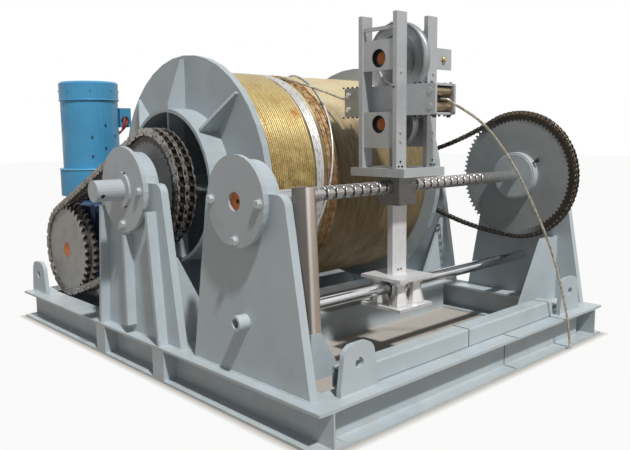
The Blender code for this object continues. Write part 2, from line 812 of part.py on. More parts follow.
def build_stands():
    for side, name in ((-1, "left"), (1, "right")):
        node("screw_stand_" + name, screw_stand(side), PAINT, SKID)
        node("drum_stand_" + name, drum_stand(side), PAINT, SKID)
        build_bearings(side, name)
    guide = bar(GUIDE_RADIUS, "X", LEFT_PLATE + SOCKET_SEAT + GAP, RIGHT_PLATE,
                (SCREW_Y, GUIDE_Z))
    node("guide_bar", guide, CHROME, SKID)
    node("chafe_tube", chafe_tube(), STEEL, SKID)


# ----------------------------------------------------------- chains, sprockets


def pitch_radius(teeth, pitch):
    return pitch / 2 / math.sin(math.pi / teeth)


def sprocket_loop(teeth, pitch, roller, centre):
    """Tooth outline: a seat for each roller and a narrow tip between seats."""
    middle = pitch_radius(teeth, pitch)
    root = middle - roller
    tip = pitch * (TIP_RISE + 1 / math.tan(math.pi / teeth)) / 2
    step = 2 * math.pi / teeth
    tip_half = TIP_WIDTH * pitch / tip / 2
    crests = (-tip_half, tip_half) if pitch > FINE_PITCH else (0.0,)
    loop = []
    for i in range(teeth):
        seat = i * step
        crest = seat + step / 2
        for radius, angle in ((root, seat), *((tip, crest + off) for off in crests)):
            loop.append((centre[0] + radius * math.cos(angle),
                         centre[1] + radius * math.sin(angle)))
    return loop


def turn_point(point, angle):
    return Matrix.Rotation(angle, 2) @ point


def strand(front, front_radius, rear, rear_radius, side, sag, steps=24):
    """A strand between two wheels, hanging by sag below its straight line."""
    between = rear - front
    lean = math.acos((front_radius - rear_radius) / between.length)
    outward = turn_point(between.normalized(), side * lean)
    slope = 4 * sag / between.length
    start = front + turn_point(outward, -slope) * front_radius
    end = rear + turn_point(outward, slope) * rear_radius
    points = []
    for i in range(steps + 1):
        t = i / steps
        points.append(start.lerp(end, t) - Vector((0.0, 4 * sag * t * (1 - t))))
    return points


def wrap(centre, radius, start, end, steps=48):
    """The arc round a wheel, clockwise from start to end."""
    first = math.atan2(start.y - centre.y, start.x - centre.x)
    last = math.atan2(end.y - centre.y, end.x - centre.x)
    sweep = (first - last) % (2 * math.pi)
    return [centre + turn_point(Vector((radius, 0.0)), first - sweep * i / steps)
            for i in range(1, steps)]


def chain_path(front, front_radius, rear, rear_radius, sag_top, sag_bottom):
    """The chain's whole loop as a fine polyline in (y, z), clockwise."""
    top = strand(front, front_radius, rear, rear_radius, 1, sag_top)
    bottom = strand(front, front_radius, rear, rear_radius, -1, sag_bottom)
    bottom.reverse()
    over_rear = wrap(rear, rear_radius, top[-1], bottom[0])
    over_front = wrap(front, front_radius, bottom[-1], top[0])
    return top + over_rear + bottom + over_front


def even_points(path, pitch):
    """Two points a link (pin and waist) at equal steps round a closed path."""
    closed = path + path[:1]
    lengths = [(b - a).length for a, b in zip(closed, closed[1:])]
    links = round(sum(lengths) / pitch)
    links += links % 2
    step = sum(lengths) / (2 * links)
    made = []
    travelled = 0.0
    for start, end, length in zip(closed, closed[1:], lengths):
        while len(made) * step < travelled + length and len(made) < 2 * links:
            made.append(start.lerp(end, (len(made) * step - travelled) / length))
        travelled += length
    return made


def chain_loops(points, height):
    """Outer and inner edge of the chain's side plates, as (y, z) loops."""
    outer = []
    inner = []
    count = len(points)
    for i, here in enumerate(points):
        along = (points[(i + 1) % count] - points[i - 1]).normalized()
        outward = Vector((-along.y, along.x))
        if i % 2 == 0:
            outer.append(tuple(here + outward * height / 2))
        if i % 4 == 0:
            inner.append(tuple(here - outward * height / 2))
    return [outer, inner]


def chain(points, height, layers, roller, wheels):
    """Side plates in layers, held together by rollers on the free strands."""
    loops = chain_loops(points, height)
    plates = loose_set([outline(loops, "X", low, high) for low, high in layers])
    pins = points[::2 * ROLLER_SPACING]
    free = [pin for pin in pins
            if all((pin - centre).length > reach for centre, reach in wheels)]
    low = (layers[0][0] + layers[0][1]) / 2
    high = (layers[-1][0] + layers[-1][1]) / 2
    rollers = loose_set([bar(roller, "X", low, high, tuple(pin), ROLLER_FACETS)
                         for pin in free])
    return join(plates, rollers)


def drive_chain():
    front = Vector((DRUM_Y, DRUM_Z))
    rear = Vector((DRIVE_Y, DRIVE_Z))
    front_radius = pitch_radius(DRIVEN_TEETH, DRIVE_PITCH)
    rear_radius = pitch_radius(DRIVE_TEETH, DRIVE_PITCH)
    path = chain_path(front, front_radius, rear, rear_radius, DRIVE_SAG_TOP, DRIVE_SAG_BOTTOM)
    points = even_points(path, DRIVE_PITCH)
    half = DRIVE_INSIDE / 2
    far = DRIVE_ROW + DRIVE_ROW_STEP
    layers = [(DRIVE_ROW - half - DRIVE_PLATES, DRIVE_ROW - half),
              (DRIVE_ROW + half, far - half),
              (far + half, far + half + DRIVE_PLATES)]
    clear = DRIVE_PITCH
    wheels = ((front, front_radius + clear), (rear, rear_radius + clear))
    return chain(points, DRIVE_PLATE_HEIGHT, layers, DRIVE_ROLLER, wheels)


def level_wind_chain():
    front = Vector((SCREW_Y, SCREW_Z))
    rear = Vector((DRUM_Y, DRUM_Z))
    front_radius = pitch_radius(WIND_TEETH, WIND_PITCH)
    rear_radius = pitch_radius(PINION_TEETH, WIND_PITCH)
    path = chain_path(front, front_radius, rear, rear_radius, WIND_SAG_TOP, WIND_SAG_BOTTOM)
    points = even_points(path, WIND_PITCH)
    half = WIND_INSIDE / 2
    layers = [(WIND_ROW - half - WIND_PLATES, WIND_ROW - half),
              (WIND_ROW + half, WIND_ROW + half + WIND_PLATES)]
    clear = WIND_PITCH
    wheels = ((front, front_radius + clear), (rear, rear_radius + clear))
    return chain(points, WIND_PLATE_HEIGHT, layers, WIND_ROLLER, wheels)


def toothed_disc(teeth, pitch, roller, centre, bore, middle, width, facets=ROUND):
    loops = [sprocket_loop(teeth, pitch, roller, centre), ring_points(bore, centre, facets)]
    return outline(loops, "X", middle - width / 2, middle + width / 2)


def double_sprocket(teeth, centre, bore):
    """Two toothed discs on a core that stops short of the chain's plates."""
    far = DRIVE_ROW + DRIVE_ROW_STEP
    half = DRIVE_TOOTH_WIDTH / 2
    loop = sprocket_loop(teeth, DRIVE_PITCH, DRIVE_ROLLER, centre)
    near_disc = outline([loop], "X", DRIVE_ROW - half, DRIVE_ROW + half)
    far_disc = outline([loop], "X", far - half, far + half)
    core_radius = pitch_radius(teeth, DRIVE_PITCH) - DRIVE_PLATE_HEIGHT * CORE_DEPTH
    core = bar(core_radius, "X", DRIVE_ROW, far, centre)
    join(near_disc, core, far_disc)
    return cut(near_disc, bar(bore, "X", DRIVE_ROW - DRIVE_TOOTH_WIDTH,
                              far + DRIVE_TOOTH_WIDTH, centre))


def build_drive():
    node("drive_chain", drive_chain(), CHAIN, SKID)
    node("level_wind_chain", level_wind_chain(), CHAIN, SKID)
    centre = (DRIVE_Y, DRIVE_Z)
    node("drive_sprocket", double_sprocket(DRIVE_TEETH, centre, OUTPUT_SHAFT_RADIUS + GAP),
         CHAIN, DRIVE_AXIS)
    shaft = bar(OUTPUT_SHAFT_RADIUS, "X", DRIVE_ROW - DRIVE_TOOTH_WIDTH / 4,
                SKID_LEFT + GEARBOX_LEFT + OUTPUT_DEPTH, centre)
    node("output_shaft", shaft, STEEL, DRIVE_AXIS)


# -------------------------------------------------------------------- winding


def drum():
    """Barrel, two flanges, rim gussets, spokes and hubs, welded as one."""
    left = DRUM_FACE
    right = DRUM_RIGHT
    rim = DRUM_FLANGE_RADIUS
    wall = BARREL_RADIUS
    thick = DRUM_FLANGE_THICK
    over = BARREL_OVERHANG
    profile = [(wall, right + over), (wall, right), (rim, right), (rim, right - thick),
               (wall, right - thick), (wall, left + thick), (rim, left + thick),
               (rim, left), (wall, left), (wall, left - over),
               (wall - BARREL_WALL, left - over), (wall - BARREL_WALL, right + over)]
    body = turned(profile, "X", (0.0, DRUM_Y, DRUM_Z), DRUM_ROUND)
    gussets = []
    spokes = []
    for end, outward in ((left, -1), (right, 1)):
        for i in range(GUSSET_COUNT):
            angle = 2 * math.pi * i / GUSSET_COUNT
            gussets.append(drum_gusset(end, outward, angle))
            if i % SPOKE_SPACING == 0:
                spokes.append(drum_spoke(end, outward, angle))
    for piece in gussets:
        join(body, piece)
    for end, outward in ((left, -1), (right, 1)):
        hub = drum_hub(end, outward)
        join(body, hub)
    for piece in spokes:
        join(body, piece)
    return body


def radial_plate(corners, angle, thick):
    """A plate in the plane of the drum's axis, at an angle round it."""
    piece = outline([corners], "Y", -thick / 2, thick / 2)
    place = Matrix.Translation((0.0, DRUM_Y, DRUM_Z)) @ Matrix.Rotation(angle, 4, "X")
    piece.matrix_world = place @ piece.matrix_world
    return piece


def drum_gusset(end, outward, angle):
    root = BARREL_RADIUS - OVERLAP
    tip = DRUM_FLANGE_RADIUS - GUSSET_RIM_MARGIN
    inner = end - outward * OVERLAP
    reach = BARREL_OVERHANG - GUSSET_RIM_MARGIN
    corners = [(inner, root), (end + outward * reach, root),
               (end + outward * reach, root + GUSSET_RIM_MARGIN),
               (end + outward * DRUM_GUSSET_THICK, tip), (inner, tip)]
    return radial_plate(corners, angle, DRUM_GUSSET_THICK)


def drum_spoke(end, outward, angle):
    low = HUB_RADIUS - 2 * OVERLAP
    high = BARREL_RADIUS - BARREL_WALL + OVERLAP
    first = end + outward * (BARREL_OVERHANG - GUSSET_RIM_MARGIN)
    second = first - outward * SPOKE_DEPTH
    corners = [(first, low), (second, low), (second, high), (first, high)]
    return radial_plate(corners, angle, DRUM_GUSSET_THICK)


def drum_hub(end, outward):
    first = end + outward * BARREL_OVERHANG
    return ring_between(HUB_RADIUS, DRUM_SHAFT_RADIUS + GAP, first,
                        first - outward * HUB_LENGTH, DRUM_Y, DRUM_Z)


def rope_pack():
    """The rope wound on the drum, as one plain hollow roll."""
    return ring_between(ROPE_PACK_RADIUS, BARREL_RADIUS + GAP,
                        DRUM_FACE + DRUM_FLANGE_THICK + GAP,
                        DRUM_RIGHT - DRUM_FLANGE_THICK - GAP, DRUM_Y, DRUM_Z, DRUM_ROUND)


def reversing_screw():
    outer_left, inner_left = housing_span(-1)
    outer_right, inner_right = housing_span(1)
    body = bar(SCREW_RADIUS, "X", inner_left + SHOULDER, inner_right - SHOULDER,
               (SCREW_Y, SCREW_Z))
    journal = bar(SCREW_JOURNAL_RADIUS, "X", outer_left + GAP, outer_right - GAP,
                  (SCREW_Y, SCREW_Z))
    return join(body, journal)


def wind_sprocket():
    centre = (SCREW_Y, SCREW_Z)
    half = WIND_TOOTH_WIDTH / 2
    loop = sprocket_loop(WIND_TEETH, WIND_PITCH, WIND_ROLLER, centre)
    disc = outline([loop], "X", WIND_ROW - half, WIND_ROW + half)
    start = WIND_ROW - half - WIND_HUB_LENGTH
    join(disc, bar(WIND_HUB_RADIUS, "X", start, WIND_ROW, centre, WIDE_ROUND))
    return cut(disc, bar(SCREW_RADIUS + GAP, "X", start - OVERLAP,
                         WIND_ROW + WIND_TOOTH_WIDTH, centre))


def build_winding():
    node("drum", drum(), PAINT, DRUM_AXIS)
    node("rope_pack", rope_pack(), ROPE, DRUM_AXIS)
    outer_left, _ = housing_span(-1)
    outer_right, _ = housing_span(1)
    cover_face = outer_left - COVER_THICK
    shaft = bar(DRUM_SHAFT_RADIUS, "X", cover_face - SHAFT_STUB, outer_right + COVER_THICK,
                (DRUM_Y, DRUM_Z))
    node("drum_shaft", shaft, PAINT, DRUM_AXIS)
    centre = (DRUM_Y, DRUM_Z)
    bore = DRUM_SHAFT_RADIUS + GAP
    node("driven_sprocket", double_sprocket(DRIVEN_TEETH, centre, bore), CHAIN, DRUM_AXIS)
    pinion = toothed_disc(PINION_TEETH, WIND_PITCH, WIND_ROLLER, centre, bore,
                          WIND_ROW, WIND_TOOTH_WIDTH)
    node("level_wind_pinion", pinion, CHAIN, DRUM_AXIS)
    node("reversing_screw", reversing_screw(), CHROME, SCREW_AXIS)
    node("level_wind_sprocket", wind_sprocket(), PAINT, SCREW_AXIS)


# ---------------------------------------------------------- motor and gearbox


def gearbox():
    left = SKID_LEFT + GEARBOX_LEFT
    right = SKID_LEFT + GEARBOX_RIGHT
    case = box((left, GEARBOX_FRONT, GEARBOX_BASE),
               (right, GEARBOX_REAR, GEARBOX_TOP))
    bevel = case.modifiers.new("edges", "BEVEL")
    bevel.width = CASE_EDGE
    bevel.segments = 1
    step = (GEARBOX_TOP - GEARBOX_BASE - 2 * CASE_EDGE) / FIN_COUNT
    for i in range(FIN_COUNT):
        z = GEARBOX_BASE + CASE_EDGE + step * (i + 0.5)
        fin = box((left + CASE_EDGE, GEARBOX_FRONT - FIN_HEIGHT, z - FIN_THICK / 2),
                  (right + FIN_HEIGHT, GEARBOX_REAR + FIN_HEIGHT, z + FIN_THICK / 2))
        join(case, fin)
    neck = bar(NECK_RADIUS, "Z", GEARBOX_TOP - OVERLAP, MOTOR_BASE - GAP,
               (SKID_LEFT + MOTOR_X, MOTOR_Y))
    join(case, neck)
    bore = bar(running_bore(OUTPUT_SHAFT_RADIUS), "X", left - OVERLAP,
               left + OUTPUT_DEPTH + OVERLAP, (DRIVE_Y, DRIVE_Z))
    return cut(case, bore)


def motor():
    """Upright motor: foot flange, plain shell, banded cap with a domed edge."""
    base = MOTOR_BASE
    top = MOTOR_TOP
    radius = MOTOR_RADIUS
    seam = top - MOTOR_CAP
    shell = radius - CAP_STEP
    profile = [(0.0, top), (radius - 2 * CAP_STEP, top), (radius, top - 2 * CAP_STEP),
               (radius, seam), (shell, seam), (shell, base + ADAPTER_HEIGHT),
               (radius + ADAPTER_STEP, base + ADAPTER_HEIGHT), (radius + ADAPTER_STEP, base),
               (0.0, base)]
    return turned(profile, "Z", (SKID_LEFT + MOTOR_X, MOTOR_Y, 0.0), WIDE_ROUND)


def build_power():
    node("gearbox", gearbox(), BLUE, SKID)
    node("motor", motor(), BLUE, SKID)
    x = SKID_LEFT + MOTOR_X + MOTOR_RADIUS - CAP_STEP
    box_piece = box((x + GAP, MOTOR_Y - TERMINAL_SIZE[1] / 2, TERMINAL_BASE),
                    (x + TERMINAL_SIZE[0], MOTOR_Y + TERMINAL_SIZE[1] / 2,
                     TERMINAL_BASE + TERMINAL_SIZE[2]))
    node("terminal_box", box_piece, BLUE, SKID)


# ------------------------------------------------------------------- carriage


def centred_box(size, low_z, high_z):
    half_x = size[0] / 2
    half_y = size[1] / 2
    return box((CARRIAGE_X - half_x, SCREW_Y - half_y, low_z),
               (CARRIAGE_X + half_x, SCREW_Y + half_y, high_z))


def nut_block():
    block = centred_box(NUT_SIZE, NUT_BASE, NUT_BASE + NUT_SIZE[2])
    half = NUT_SIZE[0] / 2 + OVERLAP
    bore = bar(running_bore(SCREW_RADIUS) + NUT_CLEARANCE, "X", CARRIAGE_X - half,
               CARRIAGE_X + half, (SCREW_Y, SCREW_Z))
    well = bar(PAWL_RADIUS + GAP, "Z", SCREW_Z, NUT_BASE + NUT_SIZE[2] + OVERLAP,
               (CARRIAGE_X, SCREW_Y))
    return cut(block, bore, well)


def carriage_plate():
    return centred_box(PLATE_SIZE, PLATE_BASE, PLATE_TOP)


def tower_side(side):
    """Two posts joined by panels, with a boss for each sheave's axle."""
    base = PLATE_TOP + GAP
    edge = CARRIAGE_X + side * POST_X
    inner = edge - side * POST_WIDTH
    low_x, high_x = sorted((edge, inner))
    posts = []
    for direction in (-1, 1):
        face = SCREW_Y + direction * POST_Y
        low_y, high_y = sorted((face, face - direction * POST_THICK))
        posts.append(box((low_x, low_y, base), (high_x, high_y, POST_TOP)))
    web = edge - side * SIDE_INSET
    near, far = sorted((web, web - side * SIDE_THICK))
    reach = POST_Y - POST_THICK + OVERLAP
    whole = posts[0]
    for low_z, high_z in (LOWER_PANEL, UPPER_PANEL, CROSS_BAR):
        join(whole, box((near, SCREW_Y - reach, low_z), (far, SCREW_Y + reach, high_z)))
    join(whole, posts[1])
    for z in (LOWER_SHEAVE_Z, UPPER_SHEAVE_Z):
        first = web - side * SIDE_THICK
        boss = bar(BOSS_RADIUS, "X", *sorted((first + side * OVERLAP, first - side * BOSS_LENGTH)),
                   (SCREW_Y, z))
        join(whole, boss)
        deep = web - side * (SIDE_THICK + BOSS_LENGTH / 2)
        cut(whole, bar(BOSS_BORE, "X", *sorted((edge, deep)), (SCREW_Y, z)))
        if side < 0:
            join(whole, sheave_axle(z))
    if side > 0:
        join(whole, cable_bracket(edge))
    return whole


def cable_bracket(edge):
    """Plate on the outer edge of the right front post."""
    middle = SCREW_Y - POST_Y + POST_THICK / 2
    half = BRACKET_THICK / 2
    low_z, high_z = BRACKET_SPAN
    return box((edge - OVERLAP, middle - half, low_z), (edge + BRACKET_REACH, middle + half, high_z))


def sheave_axle(z):
    """Fixed axle, welded in the left boss and ending at the right one."""
    reach = POST_X - SIDE_INSET - SIDE_THICK - BOSS_LENGTH
    return bar(AXLE_RADIUS, "X", CARRIAGE_X - reach - OVERLAP, CARRIAGE_X + reach - GAP,
               (SCREW_Y, z))


def sheave(z, radius, width):
    """Grooved wheel with a thin web and a hub, turning on its axle."""
    half = width / 2
    hub = AXLE_RADIUS + HUB_WALL
    bore = running_bore(AXLE_RADIUS)
    web = half * WEB_SHARE
    hub_half = POST_X - SIDE_INSET - SIDE_THICK - BOSS_LENGTH - 2 * OVERLAP
    rim = radius * SHEAVE_RIM
    crown = radius * SHEAVE_CROWN
    side = half * RIM_SHARE
    root = radius - GROOVE_DEPTH * ROPE_RADIUS
    floor = GROOVE_FLOOR * ROPE_RADIUS
    profile = [(bore, hub_half), (hub, hub_half), (hub, web), (rim, web), (rim, side),
               (crown, side), (radius, half), (root, floor), (root, -floor), (radius, -half),
               (crown, -side), (rim, -side), (rim, -web), (hub, -web), (hub, -hub_half),
               (bore, -hub_half)]
    return turned(profile, "X", (CARRIAGE_X, SCREW_Y, z), ROUND)


def fairlead_plate(side):
    """Long side plate of the fairlead, bored for its four rollers' pins."""
    inner = POST_X - POST_WIDTH - GAP
    low, high = sorted((CARRIAGE_X + side * inner, CARRIAGE_X + side * (inner - FAIRLEAD_PLATE)))
    half_y = FAIRLEAD_LENGTH / 2
    half_z = FAIRLEAD_HEIGHT / 2
    corners = [(SCREW_Y - half_y, FAIRLEAD_Z - half_z), (SCREW_Y + half_y, FAIRLEAD_Z - half_z),
               (SCREW_Y + half_y, FAIRLEAD_Z + half_z), (SCREW_Y - half_y, FAIRLEAD_Z + half_z)]
    holes = [ring_points(running_bore(ROLLER_PIN, SMALL_ROUND), place,
                         SMALL_ROUND) for place in roller_places()]
    plate = outline([rounded(corners, (FAIRLEAD_CORNER,) * 4, 2), *holes], "X", low, high)
    if side > 0:
        join(plate, *fairlead_bridges(low + OVERLAP))
    return plate


def fairlead_bridges(right):
    """Top and bottom plates over each pair of rollers, clear of the sheaves."""
    left = CARRIAGE_X - (POST_X - POST_WIDTH - FAIRLEAD_PLATE - 2 * GAP)
    top = FAIRLEAD_Z + FAIRLEAD_HEIGHT / 2
    bottom = FAIRLEAD_Z - FAIRLEAD_HEIGHT / 2
    bridges = []
    for end in (-1, 1):
        outer = SCREW_Y + end * (FAIRLEAD_LENGTH / 2 - FAIRLEAD_CORNER)
        near, far = sorted((outer, outer - end * BRIDGE_LENGTH))
        for low, high in ((bottom, bottom + BRIDGE_THICK), (top - BRIDGE_THICK, top)):
            bridges.append(box((left, near, low), (right, far, high)))
    return bridges


def roller_places():
    """(y, z) of the four fairlead rollers: front pair, then rear pair."""
    reach = FAIRLEAD_LENGTH / 2 - ROLLER_INSET
    return [(SCREW_Y + end * reach, FAIRLEAD_Z + rise * ROLLER_RISE)
            for end in (-1, 1) for rise in (-1, 1)]


def fairlead_roller(y, z):
    clear = POST_X - POST_WIDTH - FAIRLEAD_PLATE - 2 * GAP
    pin = clear + FAIRLEAD_PLATE
    profile = [(0.0, pin), (ROLLER_PIN, pin), (ROLLER_PIN, clear), (ROLLER_RADIUS, clear),
               (ROLLER_RADIUS, -clear), (ROLLER_PIN, -clear), (ROLLER_PIN, -pin), (0.0, -pin)]
    return turned(profile, "X", (CARRIAGE_X, y, z), SMALL_ROUND)


def guide_hanger():
    """Flat stem under the nut block, welded to the upper guide plate."""
    low, high = UPPER_GUIDE_PLATE
    plate = centred_box(GUIDE_PLATE, low, high)
    stem = centred_box(STEM_SIZE, high - OVERLAP, NUT_BASE - GAP)
    return join(plate, stem)


def guide_tray():
    """Lower guide plate with the four pins on which the spools turn."""
    low, high = LOWER_GUIDE_PLATE
    plate = centred_box(GUIDE_PLATE, low, high)
    for x, y in spool_places():
        join(plate, bar(SPOOL_PIN, "Z", high - OVERLAP, UPPER_GUIDE_PLATE[0] - GAP, (x, y),
                        SMALL_ROUND))
    return plate


def spool_places():
    reach = GUIDE_RADIUS + SPOOL_WAIST + SPOOL_CLEARANCE
    return [(CARRIAGE_X + a * SPOOL_X, SCREW_Y + b * reach) for a in (-1, 1) for b in (-1, 1)]


def spool(x, y):
    """Waisted guide roller that bears on the side of the guide bar."""
    low = LOWER_GUIDE_PLATE[1] + GAP
    high = UPPER_GUIDE_PLATE[0] - GAP
    bore = running_bore(SPOOL_PIN, SMALL_ROUND)
    profile = [(SPOOL_FLANGE, high), (SPOOL_FLANGE, high - SPOOL_LIP),
               (SPOOL_WAIST, GUIDE_Z + WAIST_HALF), (SPOOL_WAIST, GUIDE_Z - WAIST_HALF),
               (SPOOL_FLANGE, low + SPOOL_LIP), (SPOOL_FLANGE, low), (bore, low), (bore, high)]
    return turned(profile, "Z", (x, y, 0.0), SMALL_ROUND)


def build_carriage():
    node("nut_block", nut_block(), ALUMINIUM, CARRIAGE)
    pawl = bar(PAWL_RADIUS, "Z", SCREW_Z + SCREW_RADIUS + GAP, PLATE_BASE - GAP,
               (CARRIAGE_X, SCREW_Y))
    node("follower_pawl", pawl, BRONZE, CARRIAGE)
    node("carriage_plate", carriage_plate(), ALUMINIUM, CARRIAGE)
    for side, name in ((-1, "left"), (1, "right")):
        node("tower_side_" + name, tower_side(side), ALUMINIUM, CARRIAGE)
        node("fairlead_plate_" + name, fairlead_plate(side), ALUMINIUM, CARRIAGE)
    node("guide_hanger", guide_hanger(), ALUMINIUM, CARRIAGE)
    node("guide_tray", guide_tray(), ALUMINIUM, CARRIAGE)
    wheels = (("upper", UPPER_SHEAVE_Z, UPPER_SHEAVE_RADIUS, UPPER_SHEAVE_WIDTH),
              ("lower", LOWER_SHEAVE_Z, LOWER_SHEAVE_RADIUS, LOWER_SHEAVE_WIDTH))
    for name, z, radius, width in wheels:
        axis = axis_empty(name + "_sheave_axis", (CARRIAGE_X, SCREW_Y, z), CARRIAGE)
        node(name + "_sheave", sheave(z, radius, width), ALUMINIUM, axis)
    names = ("front_low", "front_high", "rear_low", "rear_high")
    for name, (y, z) in zip(names, roller_places()):
        axis = axis_empty("fairlead_axis_" + name, (CARRIAGE_X, y, z), CARRIAGE)
        node("fairlead_roller_" + name, fairlead_roller(y, z), STEEL, axis)
    names = ("left_front", "left_rear", "right_front", "right_rear")
    for name, (x, y) in zip(names, spool_places()):
        axis = axis_empty("spool_axis_" + name, (x, y, GUIDE_Z), CARRIAGE)
        node("spool_" + name, spool(x, y), STEEL, axis)


# ----------------------------------------------------------------------- rope


def smooth_route(points, spacing):
    """Points at even spacing on a Catmull-Rom curve through the given ones."""
    fine = []
    count = len(points)
    for i in range(count - 1):
        a = points[max(i - 1, 0)]
        b = points[i]
        c = points[i + 1]
        d = points[min(i + 2, count - 1)]
        for k in range(16):
            t = k / 16
            fine.append(0.5 * (2 * b + (c - a) * t + (2 * a - 5 * b + 4 * c - d) * t ** 2
                               + (3 * b - 3 * c + d - a) * t ** 3))
    fine.append(points[-1])
    lengths = [(q - p).length for p, q in zip(fine, fine[1:])]
    steps = max(2, round(sum(lengths) / spacing))
    step = sum(lengths) / steps
    made = []
    travelled = 0.0
    for start, end, length in zip(fine, fine[1:], lengths):
        while len(made) * step < travelled + length and len(made) < steps:
            made.append(start.lerp(end, (len(made) * step - travelled) / length))
        travelled += length
    made.append(fine[-1])
    return made


def tube(points, radius):
    curve = bpy.data.curves.new("tube", "CURVE")
    curve.dimensions = "3D"
    curve.bevel_depth = radius
    curve.bevel_resolution = 2
    curve.use_fill_caps = True
    spline = curve.splines.new("POLY")
    spline.points.add(len(points) - 1)
    for target, place in zip(spline.points, points):
        target.co = (*place, 1.0)
    piece = bpy.data.objects.new("tube", curve)
    PARTS.objects.link(piece)
    return piece


def rope_start():
    """Where the rope leaves the top of the pack, tangent to its outer layer."""
    radius = ROPE_PACK_RADIUS + ROPE_RADIUS + GAP
    rear_guide = Vector((SCREW_Y + FAIRLEAD_LENGTH / 2 - ROLLER_INSET, FAIRLEAD_Z))
    centre = Vector((DRUM_Y, DRUM_Z))
    between = rear_guide - centre
    lean = math.acos(radius / between.length)
    return centre + turn_point(between.normalized(), -lean) * radius, rear_guide


def rope_line():
    start, guide = rope_start()
    points = [Vector((CARRIAGE_X - LEAD_FLEET, start.x, start.y)),
              Vector((CARRIAGE_X - LEAD_FLEET / 2, (start.x + guide.x) / 2,
                      (start.y + guide.y) / 2)),
              Vector((CARRIAGE_X, guide.x, guide.y)),
              Vector((CARRIAGE_X, SCREW_Y, FAIRLEAD_Z))]
    points += [Vector(place) for place in TAIL_POINTS]
    return tube(smooth_route(points, ROPE_STEP * ROPE_RADIUS), ROPE_RADIUS)


# ----------------------------------------------------------------------- main

clear_scene()
PARTS = new_collection("wire_rope_winch")
TOOLS = new_collection("cutters")
SKID = axis_empty("skid", (0.0, 0.0, 0.0))
DRUM_AXIS = axis_empty("drum_axis", (0.0, DRUM_Y, DRUM_Z), SKID)
DRIVE_AXIS = axis_empty("drive_axis", (DRIVE_ROW, DRIVE_Y, DRIVE_Z), SKID)
SCREW_AXIS = axis_empty("screw_axis", (0.0, SCREW_Y, SCREW_Z), SKID)
CARRIAGE = axis_empty("carriage", (CARRIAGE_X, SCREW_Y, SCREW_Z), SKID)
build_skid()
build_stands()
build_drive()
build_winding()
build_power()
build_carriage()
node("rope_line", rope_line(), ROPE, CARRIAGE)
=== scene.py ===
import math

import bmesh
import bpy
import numpy as np
from mathutils import Matrix


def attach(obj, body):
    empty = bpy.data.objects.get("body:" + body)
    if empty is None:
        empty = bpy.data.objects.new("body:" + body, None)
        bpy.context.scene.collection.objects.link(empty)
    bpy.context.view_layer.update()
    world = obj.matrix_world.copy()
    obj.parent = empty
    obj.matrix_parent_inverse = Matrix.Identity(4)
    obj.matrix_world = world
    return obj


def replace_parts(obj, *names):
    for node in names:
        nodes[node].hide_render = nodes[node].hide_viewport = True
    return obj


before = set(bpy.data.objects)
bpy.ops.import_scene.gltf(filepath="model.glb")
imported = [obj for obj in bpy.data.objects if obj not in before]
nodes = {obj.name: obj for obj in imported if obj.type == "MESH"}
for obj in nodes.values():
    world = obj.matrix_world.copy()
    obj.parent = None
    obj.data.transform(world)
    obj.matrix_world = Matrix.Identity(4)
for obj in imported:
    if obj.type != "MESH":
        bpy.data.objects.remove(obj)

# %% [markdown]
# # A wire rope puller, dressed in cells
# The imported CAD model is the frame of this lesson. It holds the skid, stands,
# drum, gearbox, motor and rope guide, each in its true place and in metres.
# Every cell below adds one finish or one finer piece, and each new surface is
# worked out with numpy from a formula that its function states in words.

LEFT, RIGHT, FRONT, BACK, UP, DOWN = (-1, 0, 0), (1, 0, 0), (0, -1, 0), (0, 1, 0), (0, 0, 1), (0, 0, -1)
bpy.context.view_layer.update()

# %% [markdown]
# ## The camera
# The picture of such a machine is taken by a standing person at its front left
# corner. A camera matrix has three columns: right, up and backwards. They are
# computed from yaw, pitch and roll, so the pose is a place and three angles.

# %% Camera
CAMERA_PLACE = (-2.9731, -3.3928, 1.2803)
YAW, PITCH, ROLL = (math.radians(a) for a in (42.967, -7.682, -0.606))
FOCAL_LENGTH, SENSOR_WIDTH = 39.39, 36.0


def camera_axes(yaw, pitch, roll):
    """Right, up and forward as unit vectors: yaw turns from +Y towards +X,
    pitch lifts the view, and roll turns right towards up about the view."""
    forward = np.array((math.sin(yaw) * math.cos(pitch), math.cos(yaw) * math.cos(pitch),
                        math.sin(pitch)))
    right = np.array((math.cos(yaw), -math.sin(yaw), 0.0))
    up = np.cross(right, forward)
    return (math.cos(roll) * right + math.sin(roll) * up,
            math.cos(roll) * up - math.sin(roll) * right, forward)


def stand(name, data, columns=np.eye(3), place=(0.0, 0.0, 0.0)):
    """Puts an object in the scene, its matrix made of three columns and a place."""
    thing = bpy.data.objects.new(name, data)
    bpy.context.scene.collection.objects.link(thing)
    pose = np.eye(4)
    pose[:3, :3] = np.stack(columns, 1)
    pose[:3, 3] = place
    thing.matrix_world = Matrix(pose.tolist())
    return thing


right, up, forward = camera_axes(YAW, PITCH, ROLL)
lens = bpy.data.cameras.new("camera")
lens.lens = FOCAL_LENGTH
lens.sensor_width = SENSOR_WIDTH
lens.clip_end = 60.0
bpy.context.scene.camera = stand("camera", lens, (right, up, -forward), CAMERA_PLACE)
print("camera looks along", forward.round(3))

# %% [markdown]
# ## Surfaces from grids
# Nearly every piece here is a grid of points with two counters. A row of the
# grid is a ring or an edge, and neighbouring rows are joined by four-sided
# faces. One helper turns such a grid into a mesh, so that each piece is only a
# formula. A grid may close on itself in either direction, and its open ends
# may be capped.

